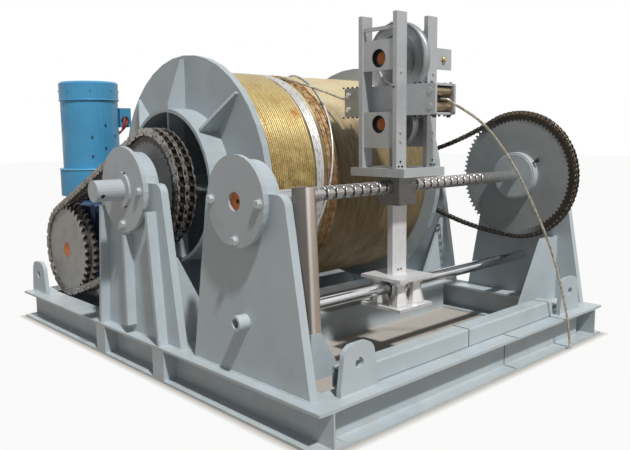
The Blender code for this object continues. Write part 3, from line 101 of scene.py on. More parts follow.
# %% Grid helpers
def grid_faces(rows, columns, close_rows=False, close_columns=False):
    """Four corners for each cell: (i, j), (i, j+1), (i+1, j+1), (i+1, j), where
    a closed direction wraps its last line onto its first."""
    i = np.arange(rows if close_rows else rows - 1)[:, None]
    j = np.arange(columns if close_columns else columns - 1)[None, :]
    i2, j2 = (i + 1) % rows, (j + 1) % columns
    corners = [i * columns + j, i * columns + j2, i2 * columns + j2, i2 * columns + j]
    return np.stack([np.broadcast_to(c, (i.size, j.size)) for c in corners], -1).reshape(-1, 4).tolist()


def sleeve_faces(rows, columns, open_start=False):
    """A tube of rings whose two ends, or only the last, have flat caps."""
    ring = np.arange(rows * columns).reshape(rows, columns).tolist()
    caps = [ring[0][::-1], ring[-1]]
    return grid_faces(rows, columns, close_columns=True) + caps[open_start:]


def gather(parts):
    """Several (points, faces) sets as one, each set's face numbers moved on."""
    points, faces, start = [], [], 0
    for some_points, some_faces in parts:
        points.append(np.asarray(some_points, float).reshape(-1, 3))
        faces.extend([tuple(int(v) + start for v in f) for f in some_faces])
        start += len(points[-1])
    return np.concatenate(points), faces


def mesh_piece(name, parts, material, body, smooth=True, closed=True):
    """One object whose place is in its mesh, riding on a body of the frame. A
    closed form has its faces turned outward before it is shaded."""
    points, faces = gather(parts)
    mesh = bpy.data.meshes.new(name)
    mesh.from_pydata(points.tolist(), [], faces)
    if closed:
        shell = bmesh.new()
        shell.from_mesh(mesh)
        bmesh.ops.recalc_face_normals(shell, faces=shell.faces[:])
        shell.to_mesh(mesh)
        shell.free()
    mesh.polygons.foreach_set("use_smooth", np.full(len(mesh.polygons), smooth))
    mesh.materials.append(material)
    mesh.update()
    piece = stand(name, mesh)
    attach(piece, body)
    return piece


def edged(name, parts, material, body):
    """A piece whose faces are shaded flat, so that its edges stay crisp."""
    return mesh_piece(name, parts, material, body, smooth=False)


print("a tube of 3 rings of 8 has", len(sleeve_faces(3, 8)), "faces")

# %% [markdown]
# ## Rings about a line
# Ropes, rods, bolts and turned parts are all rings about a line. A ring's point
# at angle a lies at centre + r (cos a first + sin a second), where first and
# second are unit vectors across the line, and r may change along the line and
# round it.

# %% Ring helpers
def unit(vectors):
    """Each vector divided by its own length."""
    return vectors / np.linalg.norm(vectors, axis=-1, keepdims=True)


def circle(count):
    """Angles at equal steps once round: 2 pi k / count."""
    return np.arange(count) * 2 * np.pi / count


def run_of(line):
    """The length along a line from its start to each of its points."""
    return np.concatenate([[0.0], np.cumsum(np.linalg.norm(np.diff(line, axis=0), axis=1))])


def rings(centres, radius, angle, first, second):
    """centre + radius * (cos(angle) * first + sin(angle) * second), with one
    row for each centre and one column for each angle."""
    across = (np.cos(angle)[:, None] * np.reshape(first, (-1, 1, 3))
              + np.sin(angle)[:, None] * np.reshape(second, (-1, 1, 3)))
    return centres[:, None] + radius[..., None] * across


def frame_of(axis):
    """Two unit vectors across an axis, so that a circle runs from the first
    to the second, anticlockwise seen from the axis' tip."""
    axis = unit(np.asarray(axis, float))
    helper = np.array((0.0, 0.0, 1.0)) if abs(axis[2]) < 0.9 else np.array((1.0, 0.0, 0.0))
    first = unit(np.cross(helper, axis))
    return first, np.cross(axis, first), axis


def lathe(profile, centre, axis, sides, turn=0.0, faces=None):
    """A profile of (radius, height) carried round an axis: each point goes to
    centre + height * axis + radius * (cos a * u + sin a * v)."""
    u, v, w = frame_of(axis)
    profile = np.asarray(profile, float)
    points = rings(np.asarray(centre) + profile[:, 1:] * w, profile[:, :1], turn + circle(sides), u, v)
    return points, faces or grid_faces(len(profile), sides, close_columns=True)


def capped(profile, centre, axis, sides, turn=0.0):
    """A lathe form whose first and last rings are filled in."""
    return lathe(profile, centre, axis, sides, turn, sleeve_faces(len(profile), sides))


def cupped(profile, centre, axis, sides, turn=0.0):
    """A lathe form that is filled at its last ring only, as a cup is."""
    return lathe(profile, centre, axis, sides, turn, sleeve_faces(len(profile), sides, True))


def washer_ring(profile, centre, axis, sides):
    """A lathe form whose profile closes on itself."""
    return lathe(profile, centre, axis, sides, 0.0, grid_faces(len(profile), sides, True, True))


def corners_of(name):
    """All corners of one of the frame's nodes, in metres."""
    return np.array([nodes[name].matrix_world @ v.co for v in nodes[name].data.vertices])


def reach(name):
    """Lowest and highest corner of one of the frame's nodes."""
    return corners_of(name).min(axis=0), corners_of(name).max(axis=0)


print("helpers ready for", len(nodes), "nodes")

# %% [markdown]
# ## Effects that several finishes share
# Paint, bare metal and rope all change a little from place to place. Two node
# groups give that change: one makes soft patches between a low and a high
# value, the other makes fine streaks that are stretched along one direction.
# They put out masks and heights only, and each finish keeps its own shader.

# %% Shared node groups
def add(tree, kind, inputs, operation=None, group=None):
    """A shader node, each of its inputs either set or linked. A sum has an
    operation, a node that stands for a group has the group, and a Mix node
    mixes colours."""
    node = tree.nodes.new("ShaderNode" + kind)
    if operation:
        node.operation = operation
    if group:
        node.node_tree = group
    if kind == "Mix":
        node.data_type = "RGBA"
    for socket, value in inputs.items():
        if isinstance(value, bpy.types.NodeSocket):
            tree.links.new(value, node.inputs[socket])
        else:
            node.inputs[socket].default_value = value
    return node


def new_group(name, inputs):
    """A node group with one vector and some other inputs and one mask out."""
    group = bpy.data.node_groups.new(name, "ShaderNodeTree")
    group.interface.new_socket("Vector", in_out="INPUT", socket_type="NodeSocketVector")
    for label, value in inputs.items():
        kind = "NodeSocketVector" if isinstance(value, tuple) else "NodeSocketFloat"
        group.interface.new_socket(label, in_out="INPUT", socket_type=kind).default_value = value
    group.interface.new_socket("Mask", in_out="OUTPUT", socket_type="NodeSocketFloat")
    return group, group.nodes.new("NodeGroupInput").outputs, group.nodes.new("NodeGroupOutput")


def patches_group():
    """Noise of a given size, spread so that Low maps to 0 and High to 1."""
    group, put, out = new_group("patches", {"Scale": 4.0, "Detail": 4.0, "Low": 0.4, "High": 0.6})
    noise = add(group, "TexNoise", {name: put[name] for name in ("Vector", "Scale", "Detail")})
    spread = add(group, "MapRange", {"Value": noise.outputs["Fac"], "From Min": put["Low"],
                                     "From Max": put["High"]})
    group.links.new(spread.outputs["Result"], out.inputs["Mask"])
    return group


def streaks_group():
    """Noise on a stretched copy of the coordinates: Stretch holds how dense it
    is along X, Y and Z."""
    group, put, out = new_group("streaks", {"Stretch": (1, 1, 40), "Detail": 3.0})
    scale = add(group, "VectorMath", {0: put["Vector"], 1: put["Stretch"]}, operation="MULTIPLY")
    noise = add(group, "TexNoise", {"Scale": 1.0, "Vector": scale.outputs["Vector"],
                                    "Detail": put["Detail"]})
    group.links.new(noise.outputs["Fac"], out.inputs["Mask"])
    return group


PATCHES = patches_group()
STREAKS = streaks_group()
print("groups:", PATCHES.name, STREAKS.name)


# %% A finish under construction
class Finish:
    """A material under construction: its tree, its shader and short calls for
    the few node chains that the finishes below are made of."""

    def __init__(self, name, colour, roughness, metallic=0.0):
        """Starts from one plain colour and reads places on the Object axes."""
        self.material = bpy.data.materials.new(name)
        self.material.use_nodes = True
        self.tree = self.material.node_tree
        self.shader = self.tree.nodes["Principled BSDF"]
        self.colour = (*colour, 1.0)
        for socket, value in (("Base Color", self.colour), ("Roughness", roughness),
                              ("Metallic", metallic)):
            self.shader.inputs[socket].default_value = value
        self.place = self.tree.nodes.new("ShaderNodeTexCoord").outputs["Object"]

    def patches(self, scale, low=0.4, high=0.6, detail=4.0):
        """Soft patches, scale of them in a metre: 0 at low noise, 1 at high."""
        return add(self.tree, "Group", {"Scale": scale, "Detail": detail, "Low": low, "High": high,
                                        "Vector": self.place}, group=PATCHES).outputs["Mask"]

    def streaks(self, stretch, detail=3.0):
        """Fine marks, as dense along X, Y and Z as stretch says."""
        return add(self.tree, "Group", {"Stretch": stretch, "Detail": detail,
                                        "Vector": self.place}, group=STREAKS).outputs["Mask"]

    def spread(self, source, low, high, new_low=0.0, new_high=1.0):
        """A value mapped from low..high to new_low..new_high, held at both ends."""
        return add(self.tree, "MapRange", {"From Min": low, "From Max": high, "To Min": new_low,
                                           "To Max": new_high, "Value": source}).outputs["Result"]

    def maths(self, operation, *values):
        """One sum on numbers or linked values."""
        return add(self.tree, "Math", dict(enumerate(values)), operation=operation).outputs[0]

    def times(self, first, second):
        """The product of two values, such as a mask and its strength."""
        return self.maths("MULTIPLY", first, second)

    def axis(self, index, place=None):
        """One of the three Object coordinates as a value."""
        return add(self.tree, "SeparateXYZ", {0: place or self.place}).outputs[index]

    def away_from(self, point):
        """The distance from a point, whose coordinates may be linked values."""
        node = add(self.tree, "VectorMath", {0: self.place, 1: point}, operation="DISTANCE")
        return node.outputs["Value"]

    def tint(self, mask, colour):
        """Paints colour over what is there, where the mask is 1."""
        node = add(self.tree, "Mix", {"A": self.colour, "B": (*colour, 1.0), "Factor": mask})
        self.colour = node.outputs["Result"]
        self.tree.links.new(self.colour, self.shader.inputs["Base Color"])

    def vary(self, socket, mask, low, high):
        """Lets a mask move one of the shader's values between two ends."""
        self.tree.links.new(self.spread(mask, 0.0, 1.0, low, high), self.shader.inputs[socket])

    def done(self, mask, low, high, height, distance, strength):
        """Lets a mask move the roughness and a height make the bump."""
        self.vary("Roughness", mask, low, high)
        bump = add(self.tree, "Bump", {"Distance": distance, "Strength": strength, "Height": height})
        self.tree.links.new(bump.outputs["Normal"], self.shader.inputs["Normal"])
        return self.material


print("finishes read their places from the Object coordinates")

# %% [markdown]
# ## Painted steel
# The skid and stands wear a light blue-grey machinery enamel, sprayed over
# plate. Close to, it has a faint orange peel, slow changes of tint where it
# dried thicker, and dusty patches low down. The same recipe with another
# colour gives the drum and the motor's blue.

# %% Paint
def paint(name, colour, roughness=0.38, dust=0.25):
    """Enamel: tint patches of 0.4 m, dust that thins with height, a few chips
    a millimetre or two wide, and a fine peel in the bump."""
    made = Finish(name, colour, roughness)
    made.tint(made.patches(2.3, 0.35, 0.65), [min(1.0, c * 1.07) for c in colour])
    made.tint(made.times(made.patches(5.0, 0.50, 0.72, 6.0), 0.7), [c * 0.90 for c in colour])
    dusty = made.times(made.spread(made.axis(2), 0.0, 0.45, 1.0, 0.0), made.patches(9.0, 0.42, 0.62, 6.0))
    made.tint(made.times(dusty, dust), (0.42, 0.38, 0.31))
    made.tint(made.times(made.patches(95.0, 0.735, 0.75, 2.0), 0.55), (0.16, 0.12, 0.10))
    return made.done(made.patches(7.0, 0.3, 0.7), roughness - 0.07, roughness + 0.10,
                     made.patches(160.0, 0.3, 0.7, 2.0), 0.00025, 0.5)


skid_paint = paint("skid_enamel", (0.455, 0.520, 0.560))
drum_paint = paint("drum_enamel", (0.40, 0.455, 0.49), 0.42, 0.1)
cover_paint = paint("cover_enamel", (0.43, 0.475, 0.505), 0.34, 0.0)
cover_bolt_paint = paint("painted_bolt", (0.50, 0.55, 0.58), 0.30, 0.0)
motor_paint = paint("motor_enamel", (0.062, 0.310, 0.560), 0.36, 0.0)
adapter_edge_paint = paint("adapter_lip_enamel", (0.13, 0.42, 0.62), 0.32, 0.0)
gearbox_paint = paint("gearbox_enamel", (0.016, 0.045, 0.110), 0.34, 0.2)
print("paints made")

# %% [markdown]
# ## Bare metals
# The rope guide is bolted together from milled aluminium, whose cutter leaves
# fine parallel marks. The guide bar is hard chrome, the shafts are ground
# steel, and the chains are oily dark steel with worn, bright plate edges.

# %% Metals
def metal(name, colour, roughness, stretch, change=0.10, grime=0.0, grime_colour=(0.1, 0.09, 0.08),
          bare=1.0):
    """Bare metal: streaks along one direction move the roughness and the
    bump, patches of grime darken it. A dull skin of oxide is bare < 1."""
    made = Finish(name, colour, roughness, bare)
    lines = made.streaks(stretch, 4.0)
    made.tint(made.spread(lines, 0.35, 0.75, 0.0, 0.35), [c * 0.72 for c in colour])
    if grime:
        spots = made.patches(14.0, 0.48, 0.70, 6.0)
        made.tint(made.times(spots, grime), grime_colour)
        made.vary("Metallic", spots, bare, bare - grime * 0.6)
    return made.done(lines, roughness - change, roughness + change, lines, 0.0002, 0.35)


def driver_wheel_painted_gap_shade():
    """A dry grey wheel whose tooth flanks are painted black for the shade in the
    gaps between its teeth: the mask is 1 where the surface's normal turns away
    from the wheel's axis."""
    made = Finish("driver_wheel_painted_gap_shade", (0.38, 0.375, 0.36), 0.55, 0.15)
    made.tint(made.patches(14.0, 0.45, 0.70, 5.0), (0.31, 0.30, 0.28))
    normal = made.tree.nodes.new("ShaderNodeNewGeometry").outputs["Normal"]
    tooth_gap_shade = made.spread(made.maths("ABSOLUTE", made.axis(0, normal)), 0.25, 0.60, 0.94, 0.0)
    # painted shade: tooth flanks black, so that the gaps between the teeth read dark
    made.tint(tooth_gap_shade, (0.030, 0.024, 0.020))
    return made.done(made.patches(30.0, 0.3, 0.7), 0.45, 0.62, made.streaks((60, 60, 60)), 0.0002, 0.3)


def tube_with_painted_reflection():
    """Stainless steel with a painted reflection: a dark band down its left side
    and a painted highlight line beside it, both given by the place along X."""
    made = Finish("tube_with_painted_reflection", (0.56, 0.47, 0.40), 0.24, 0.85)
    # painted highlight: a bright line down the tube, from x = -1.082 to -1.074
    made.tint(made.spread(made.axis(0), -1.082, -1.074, 0.9, 0.0), (0.78, 0.76, 0.74))
    # painted reflection: a dark band down the tube's left side
    made.tint(made.spread(made.axis(0), -1.096, -1.088, 0.9, 0.0), (0.115, 0.110, 0.105))
    return made.done(made.streaks((60, 60, 3)), 0.16, 0.36, made.streaks((300, 300, 8)), 0.0001, 0.3)


DARK_GREASE = (0.05, 0.04, 0.03)
aluminium = metal("milled_aluminium", (0.50, 0.525, 0.55), 0.46, (3, 60, 260), 0.10, 0.08, bare=0.22)
bright_plate = metal("bright_aluminium", (0.74, 0.74, 0.76), 0.40, (60, 60, 4), 0.10, 0.08, bare=0.25)
aluminium_dull = metal("cast_aluminium", (0.29, 0.29, 0.285), 0.50, (30, 30, 160), 0.08, 0.25, bare=0.30)
sheave_steel = metal("turned_sheave", (0.36, 0.375, 0.39), 0.38, (300, 40, 40), 0.08, 0.10, bare=0.55)
brass_screw = metal("yellow_zinc_screw", (0.50, 0.40, 0.17), 0.28, (200, 200, 200), 0.08)
chrome = metal("hard_chrome", (0.72, 0.73, 0.76), 0.14, (4, 300, 300), 0.05, 0.10)
ground_steel = metal("ground_steel", (0.56, 0.55, 0.53), 0.28, (400, 20, 20), 0.10, 0.25,
                     (0.16, 0.12, 0.09))
chain_steel = metal("oiled_chain", (0.34, 0.32, 0.295), 0.30, (90, 90, 90), 0.14, 0.45,
                    (0.035, 0.028, 0.022))
plate_steel = metal("worn_chain_plate", (0.155, 0.130, 0.112), 0.30, (120, 60, 60), 0.14, 0.40,
                    DARK_GREASE)
drive_plate_steel = metal("worn_drive_plate", (0.33, 0.31, 0.29), 0.28, (120, 60, 60), 0.14, 0.60,
                          (0.075, 0.052, 0.036))
wheel_steel = metal("sprocket_steel", (0.22, 0.225, 0.23), 0.50, (60, 60, 60), 0.12, 0.40, DARK_GREASE)
driver_steel = driver_wheel_painted_gap_shade()
stainless = tube_with_painted_reflection()
spool_steel = metal("polished_spool", (0.80, 0.79, 0.77), 0.30, (20, 20, 300), 0.08, 0.06, bare=0.6)
bolt_steel = metal("plated_bolt", (0.62, 0.62, 0.60), 0.30, (200, 200, 200), 0.10, 0.15)
roller_steel = metal("browned_roller", (0.34, 0.26, 0.17), 0.30, (60, 60, 60), 0.10, 0.40,
                     (0.12, 0.07, 0.04), bare=0.8)
bronze = metal("guide_bronze", (0.42, 0.22, 0.09), 0.45, (60, 60, 60), 0.10, 0.20)
black_steel = metal("black_bolt", (0.06, 0.06, 0.06), 0.40, (200, 200, 200), 0.08)
print("metals made")


# %% Plastics
def plastic(name, colour, roughness=0.45):
    """Moulded plastic: one colour with slow patches and a very fine grain."""
    made = Finish(name, colour, roughness)
    made.tint(made.patches(22.0, 0.4, 0.7), [c * 0.8 for c in colour])
    return made.done(made.patches(40.0, 0.3, 0.7), roughness - 0.06, roughness + 0.06,
                     made.patches(500.0, 0.3, 0.7, 2.0), 0.0001, 0.4)


orange_cap = plastic("orange_bearing_cap", (0.62, 0.17, 0.03), 0.5)
# black rubber, also used for painted shade: the dark hole discs and the bore linings
black_rubber_and_hole_shade = plastic("black_rubber_and_hole_shade", (0.018, 0.018, 0.020), 0.6)
red_wire = plastic("red_sheath", (0.45, 0.03, 0.02), 0.4)
print("plastics made")

# %% [markdown]
# ## The rope that leaves the drum
# The rope runs from the top of the drum between the guide's rollers, over the
# front and down to the ground. A wire rope is six strands laid round a core,
# so its section is a circle with six shallow lobes that turns as it goes
# along, one turn in six and a half diameters. The strands themselves slant
# the other way, which the finish shows as fine lines.

# %% Rope route and rope
ROPE = 0.014
ROPE_STEP = 0.0045
CARRIAGE_X = -0.121
SCREW_Y, SCREW_Z = SCREW_AXIS = np.array((-0.984, 0.986))
DRUM_Y, DRUM_Z = DRUM_AXIS = np.array((0.0265, 0.984))
PACK_RADIUS = 0.650
FAIRLEAD_Z = 1.4375
REAR_ROLLERS = np.array((SCREW_Y + 0.278, FAIRLEAD_Z))
ROPE_LEAD = 0.118
ROPE_TAIL = (
    (-0.121, -1.268, 1.4375), (-0.073, -1.312, 1.4120), (0.096, -1.359, 1.3220),
    (0.225, -1.395, 1.2020), (0.333, -1.424, 1.0700), (0.416, -1.447, 0.9450),
    (0.534, -1.480, 0.7430), (0.611, -1.502, 0.5900), (0.694, -1.524, 0.3760),
    (0.748, -1.539, 0.1880), (0.780, -1.548, 0.0120))


def curve_through(points, samples=16):
    """A smooth line through points: on each stretch, the cubic whose slope at
    an end is half the step between that end's two neighbours."""
    p = np.asarray(points, float)
    a, b, c, d = (p[np.clip(np.arange(len(p) - 1) + k, 0, len(p) - 1)][:, None] for k in (-1, 0, 1, 2))
    t = (np.arange(samples) / samples)[None, :, None]
    fine = 0.5 * (2 * b + (c - a) * t + (2 * a - 5 * b + 4 * c - d) * t ** 2
                  + (3 * b - 3 * c + d - a) * t ** 3)
    return np.concatenate([fine.reshape(-1, 3), p[-1:]])


def along_line(line, at):
    """The points of a line at the given lengths from its start."""
    return np.stack([np.interp(at, run_of(line), line[:, k]) for k in range(line.shape[1])], -1)


def carried_frames(line):
    """Direction of a line at each point and two vectors across it that turn
    as little as possible: the last pair is laid flat on the next direction."""
    along = unit(np.gradient(line, axis=0))
    first = [frame_of(along[0])[0]]
    for way in along[1:]:
        first.append(unit(first[-1] - way * (first[-1] @ way)))
    return along, np.array(first), np.cross(along, first)


def strand_radius(line, angle, diameter, lobe, strands=6, lay=6.5):
    """Half the diameter less a lobe: r * (1 - 2 lobe * (1 - |cos(strands / 2 *
    (angle - turn))|)), where turn grows by a circle every lay diameters."""
    turn = (run_of(line) / (lay * diameter) * 2 * np.pi)[:, None]
    return diameter / 2 * (1 - lobe * 2 * (1 - np.abs(np.cos(strands / 2 * (angle - turn)))))


def laid_rope(line, diameter, sides=24, lobe=0.09):
    """A rope all round, with flat caps at its ends: rings of strand_radius
    about the line. A lobe of 0 makes it a plain round wire."""
    _, first, second = carried_frames(line)
    radius = strand_radius(line, circle(sides), diameter, lobe)
    return rings(line, radius, circle(sides), first, second), sleeve_faces(len(line), sides)


def rope_route():
    """The rope leaves the roll where its tangent, seen along the drum, meets
    the line between the rear rollers, and then follows the guide and the tail."""
    radius = PACK_RADIUS + ROPE / 2 + 0.0003
    between = REAR_ROLLERS - DRUM_AXIS
    heading = math.atan2(between[1], between[0]) - math.acos(radius / np.linalg.norm(between))
    start = DRUM_AXIS + radius * np.array((math.cos(heading), math.sin(heading)))
    return curve_through([
        (CARRIAGE_X - ROPE_LEAD, *start), (CARRIAGE_X - ROPE_LEAD / 2, *((start + REAR_ROLLERS) / 2)),
        (CARRIAGE_X, *REAR_ROLLERS), (CARRIAGE_X, SCREW_Y, FAIRLEAD_Z), *ROPE_TAIL])


def free_rope():
    """Steel strands with dark patches of grease and fine slanting wires."""
    made = Finish("free_rope", (0.60, 0.57, 0.47), 0.42, 0.55)
    made.tint(made.patches(60.0, 0.42, 0.66, 5.0), (0.29, 0.27, 0.21))
    return made.done(made.patches(90.0, 0.3, 0.7), 0.30, 0.55,
                     made.streaks((900, 300, 300), 2.0), 0.0004, 0.5)


coarse_route = rope_route()
route_length = run_of(coarse_route)[-1]
route = along_line(coarse_route, np.linspace(0.0, route_length, round(route_length / ROPE_STEP) + 1))
rope_line = mesh_piece("rope_line_laid", [laid_rope(route, ROPE)], free_rope(), "carriage")
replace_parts(rope_line, "rope_line")
print("rope leaves the drum at", route[0].round(3), "and is", round(route_length, 3), "m long")

# %% [markdown]
# ## Finishes on the frame's own solids
# Most of the machine's plates, housings and bars keep their CAD shape and only
# need a real surface. Each finish is given to the nodes whose names are one of
# its words, alone or with one of the usual endings.

# %% Dress the CAD nodes
ENDINGS = ("", "_left", "_right", "_front", "_middle", "_rear", "_low", "_high")
DRESS = {
    skid_paint: "side_beam end_beam cross_beam front_box_member motor_seat screw_stand drum_stand "
                "screw_housing drum_housing",
    cover_paint: "screw_cover drum_cover drum_shaft",
    drum_paint: "drum",
    motor_paint: "motor terminal_box",
    gearbox_paint: "gearbox",
    chrome: "guide_bar",
    stainless: "chafe_tube",
    ground_steel: "output_shaft drum_bearing",
    spool_steel: "spool_left spool_right",
    aluminium: "carriage_plate tower_side fairlead_plate",
    bright_plate: "guide_hanger guide_tray",
    aluminium_dull: "nut_block",
    bronze: "follower_pawl",
    roller_steel: "fairlead_roller_front fairlead_roller_rear",
}
dressed = [(word + ending, finish) for finish, words in DRESS.items() for word in words.split()
           for ending in ENDINGS if word + ending in nodes]
for name, finish in dressed:
    nodes[name].data.materials.clear()
    nodes[name].data.materials.append(finish)
print("dressed", len(dressed), "nodes")

# %% [markdown]
# ## Chain routes
# Every pin of a chain lies on one closed line. Round a wheel it follows the
# pitch circle, whose radius is pitch / (2 sin(pi / teeth)), and between the
# wheels it hangs as a shallow parabola. Cutting that line into an even number
# of equal steps gives all the pins at once.

# %% Pins on a closed line
DRIVE = {"pitch": 0.0508, "inside": 0.0318, "plate": 0.0060, "height": 0.0478,
         "roller": 0.0142, "pin": 0.0074, "rows": (-1.0320, -0.97345)}
WIND = {"pitch": 0.03175, "inside": 0.0191, "plate": 0.0038, "height": 0.0298,
        "roller": 0.0095, "pin": 0.0048, "rows": (1.0976,)}
DRIVE_AXIS = np.array((1.161, 0.503))
DRIVEN_TEETH, DRIVER_TEETH, WIND_TEETH, PINION_TEETH = 38, 36, 80, 20


def pitch_radius(teeth, chain):
    """Radius of the circle through the pins: pitch / (2 sin(pi / teeth))."""
    return chain["pitch"] / 2 / math.sin(math.pi / teeth)


def turned_by(vector, angle):
    """Rotation of (y, z) by an angle, anticlockwise."""
    y, z = vector
    return np.array((math.cos(angle) * y - math.sin(angle) * z, math.sin(angle) * y + math.cos(angle) * z))


def hanging_strand(front, front_radius, rear, rear_radius, side, sag):
    """From wheel to wheel: start + (end - start) t, less 4 sag t (1 - t)."""
    between = rear - front
    span = np.linalg.norm(between)
    outward = turned_by(between / span, side * math.acos((front_radius - rear_radius) / span))
    slope = 4 * sag / span
    start = front + turned_by(outward, -slope) * front_radius
    end = rear + turned_by(outward, slope) * rear_radius
    t = np.linspace(0.0, 1.0, 25)[:, None]
    return start + (end - start) * t - np.array((0.0, 4 * sag)) * t * (1 - t)


def round_wheel(centre, radius, start, end):
    """The clockwise arc of the pitch circle from one strand to the other."""
    first, last = (math.atan2(place[1] - centre[1], place[0] - centre[0]) for place in (start, end))
    angle = first - (first - last) % (2 * math.pi) * np.linspace(0.0, 1.0, 49)[1:-1]
    return centre + radius * np.stack([np.cos(angle), np.sin(angle)], -1)


def chain_pins(wheels, sags, chain):
    """Pin places in (y, z), from the front wheel over the top."""
    (front, a), (rear, b) = wheels
    top, bottom = (hanging_strand(front, a, rear, b, side, sag) for side, sag in zip((1, -1), sags))
    bottom = bottom[::-1]
    line = np.concatenate([top, round_wheel(rear, b, top[-1], bottom[0]), bottom,
                           round_wheel(front, a, bottom[-1], top[0]), top[:1]])
    length = run_of(line)[-1]
    links = 2 * math.ceil(round(length / chain["pitch"]) / 2)
    return along_line(line, np.arange(links) * length / links)


drive_wheels = ((DRUM_AXIS, pitch_radius(DRIVEN_TEETH, DRIVE)),
                (DRIVE_AXIS, pitch_radius(DRIVER_TEETH, DRIVE)))
wind_wheels = ((SCREW_AXIS, pitch_radius(WIND_TEETH, WIND)),
               (DRUM_AXIS, pitch_radius(PINION_TEETH, WIND)))
drive_pins = chain_pins(drive_wheels, (0.004, 0.030), DRIVE)
wind_pins = chain_pins(wind_wheels, (0.045, 0.070), WIND)
print("drive chain:", len(drive_pins), "links, level-wind chain:", len(wind_pins), "links")

# %% [markdown]
# ## Links
# A roller chain alternates inner and outer links. A side plate is waisted: a
# half circle round each pin and a narrower middle, with its edges broken by a
# small bevel that catches the light. Outer plates lie outside the inner ones,
# and the pins' riveted heads stand a little proud of them. Rollers show on the
# free strands, since a wheel's teeth fill the links that lie on it.

# %% Side plates, heads and rollers
TIP = 0.30                       # height of a tooth above the pitch circle, in pitches
PLAY = 0.0004                    # between a roller and the plates beside it
SUNK = 0.0005                    # how deep a rod or hub runs into its neighbour


def plate_outline(length, height, waist=0.76):
    """Twelve points: radius * (cos a, sin a) at five angles round each pin, and
    a middle point above and below at waist * radius."""
    radius = height / 2
    a = np.radians((-72, -36, 0, 36, 72))
    far = np.stack([length + radius * np.cos(a), radius * np.sin(a)], -1)
    near = np.stack([-radius * np.cos(a), -radius * np.sin(a)], -1)
    middle = np.array((length / 2, radius * waist))
    return np.concatenate([far, [middle], near, [middle * (1, -1)]])


def link_plates(pins, chain, low, high, odd):
    """The plates of every second link between x = low and x = high, each as
    four rings: the outline, and the same outline smaller by a bevel."""
    start = pins[odd::2]
    along = unit(np.roll(pins, -1, axis=0)[odd::2] - start)
    across = np.stack([-along[:, 1], along[:, 0]], -1)
    bevel = chain["plate"] * 0.22
    full = plate_outline(chain["pitch"], chain["height"])
    small = plate_outline(chain["pitch"], chain["height"] - 2 * bevel)
    made = []
    for outline, x in ((small, low), (full, low + bevel), (full, high - bevel), (small, high)):
        flat = (start[:, None] + outline[None, :, :1] * along[:, None]
                + outline[None, :, 1:] * across[:, None])
        made.append(np.concatenate([np.full((*flat.shape[:2], 1), x), flat], -1))
    return [(link, sleeve_faces(4, len(full))) for link in np.stack(made, 1)]


def cross_rods(pins, radius, low, high, sides):
    """A short rod at each pin, with a bevel of 0.15 radius at both ends."""
    bevel = radius * 0.15
    profile = ((radius - bevel, 0.0), (radius, bevel), (radius, high - low - bevel),
               (radius - bevel, high - low))
    return [capped(profile, (low, *pin), RIGHT, sides, 0.3) for pin in pins]


def chain_parts(pins, chain, wheels):
    """Plates, and rods (heads and free rollers), as two lists of solids. Inner
    plates start at half the inside width, outer ones a plate further out."""
    plates, rods = [], []
    half, plate, roller, head = (chain[word] for word in ("inside", "plate", "roller", "pin"))
    half, outer = half / 2, half / 2 + plate + 0.0003
    clear = TIP * chain["pitch"] + roller + SUNK
    free = [pin for pin in pins
            if all(np.linalg.norm(pin - centre) > radius + clear for centre, radius in wheels)]
    for row in chain["rows"]:
        for out, odd in ((half, 1), (outer, 0)):
            plates += link_plates(pins, chain, row - out - plate, row - out, odd)
            plates += link_plates(pins, chain, row + out, row + out + plate, odd)
        rods += cross_rods(free, roller, row - half + PLAY, row + half - PLAY, 10)
    first, last = chain["rows"][0] - outer - plate, chain["rows"][-1] + outer + plate
    rods += cross_rods(pins, head, first - head * 0.4, first + SUNK, 8)
    rods += cross_rods(pins, head, last - SUNK, last + head * 0.4, 8)
    return plates, rods


for title, pins, chain, wheels, finish in (
        ("drive_chain", drive_pins, DRIVE, drive_wheels, drive_plate_steel),
        ("level_wind_chain", wind_pins, WIND, wind_wheels, plate_steel)):
    plates, rods = chain_parts(pins, chain, wheels)
    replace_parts(edged(title + "_links", plates, finish, "skid"), title)
    edged(title + "_rollers_and_pins", rods, chain_steel, "skid")
    print(title, len(plates), "plates and", len(rods), "rods")

# %% [markdown]
# ## Sprockets
# A tooth is what is left between two roller seats. In one tooth's share of the
# wheel, the edge first follows the seat, an arc of the roller's radius about a
# point of the pitch circle, and then goes straight to a blunt tip. Each tooth
# is thinner at its tip, so that a link drops over it easily.

# %% Toothed wheels
DRUM_BORE, DRIVE_BORE, SCREW_BORE = 0.0578, 0.0483, 0.0353
DRIVE_HALF, WIND_HALF = 0.0151, 0.00875


def tooth_edge(teeth, chain, open_angle=62):
    """Radius and angle of the edge. Seat: (R - r cos p, r sin p) for p from
    -open_angle to open_angle; tip: TIP pitches above the pitch circle."""
    middle, roller = pitch_radius(teeth, chain), chain["roller"] * 1.02
    p = np.radians(np.linspace(-open_angle, open_angle, 7))
    seat_x, seat_y = middle - roller * np.cos(p), roller * np.sin(p)
    tip = middle + TIP * chain["pitch"]
    share = 2 * math.pi / teeth
    half_tip = 0.12 * chain["pitch"] / tip
    radius = np.concatenate([np.hypot(seat_x, seat_y), [tip, tip]])
    angle = np.concatenate([np.arctan2(seat_y, seat_x), [share / 2 - half_tip, share / 2 + half_tip]])
    turns = np.arange(teeth)[:, None] * share
    return np.tile(radius, teeth), (angle[None] + turns).ravel(), middle - roller, tip


def wheel_disc(teeth, chain, centre, low, high, bore):
    """Six closed rings: bore, base and edge on one face, then on the other."""
    radius, angle, root, tip = tooth_edge(teeth, chain)
    thin = 0.17 * (high - low) * (radius - root) / (tip - root)
    base = root - chain["roller"] * 0.8
    y, z = centre
    points = [np.stack([x + 0 * angle, y + ring * np.cos(angle), z + ring * np.sin(angle)], -1)
              for ring, x in ((bore, low), (base, low), (radius, low + thin), (radius, high - thin),
                              (base, high), (bore, high))]
    return np.stack(points), grid_faces(6, len(radius), True, True)


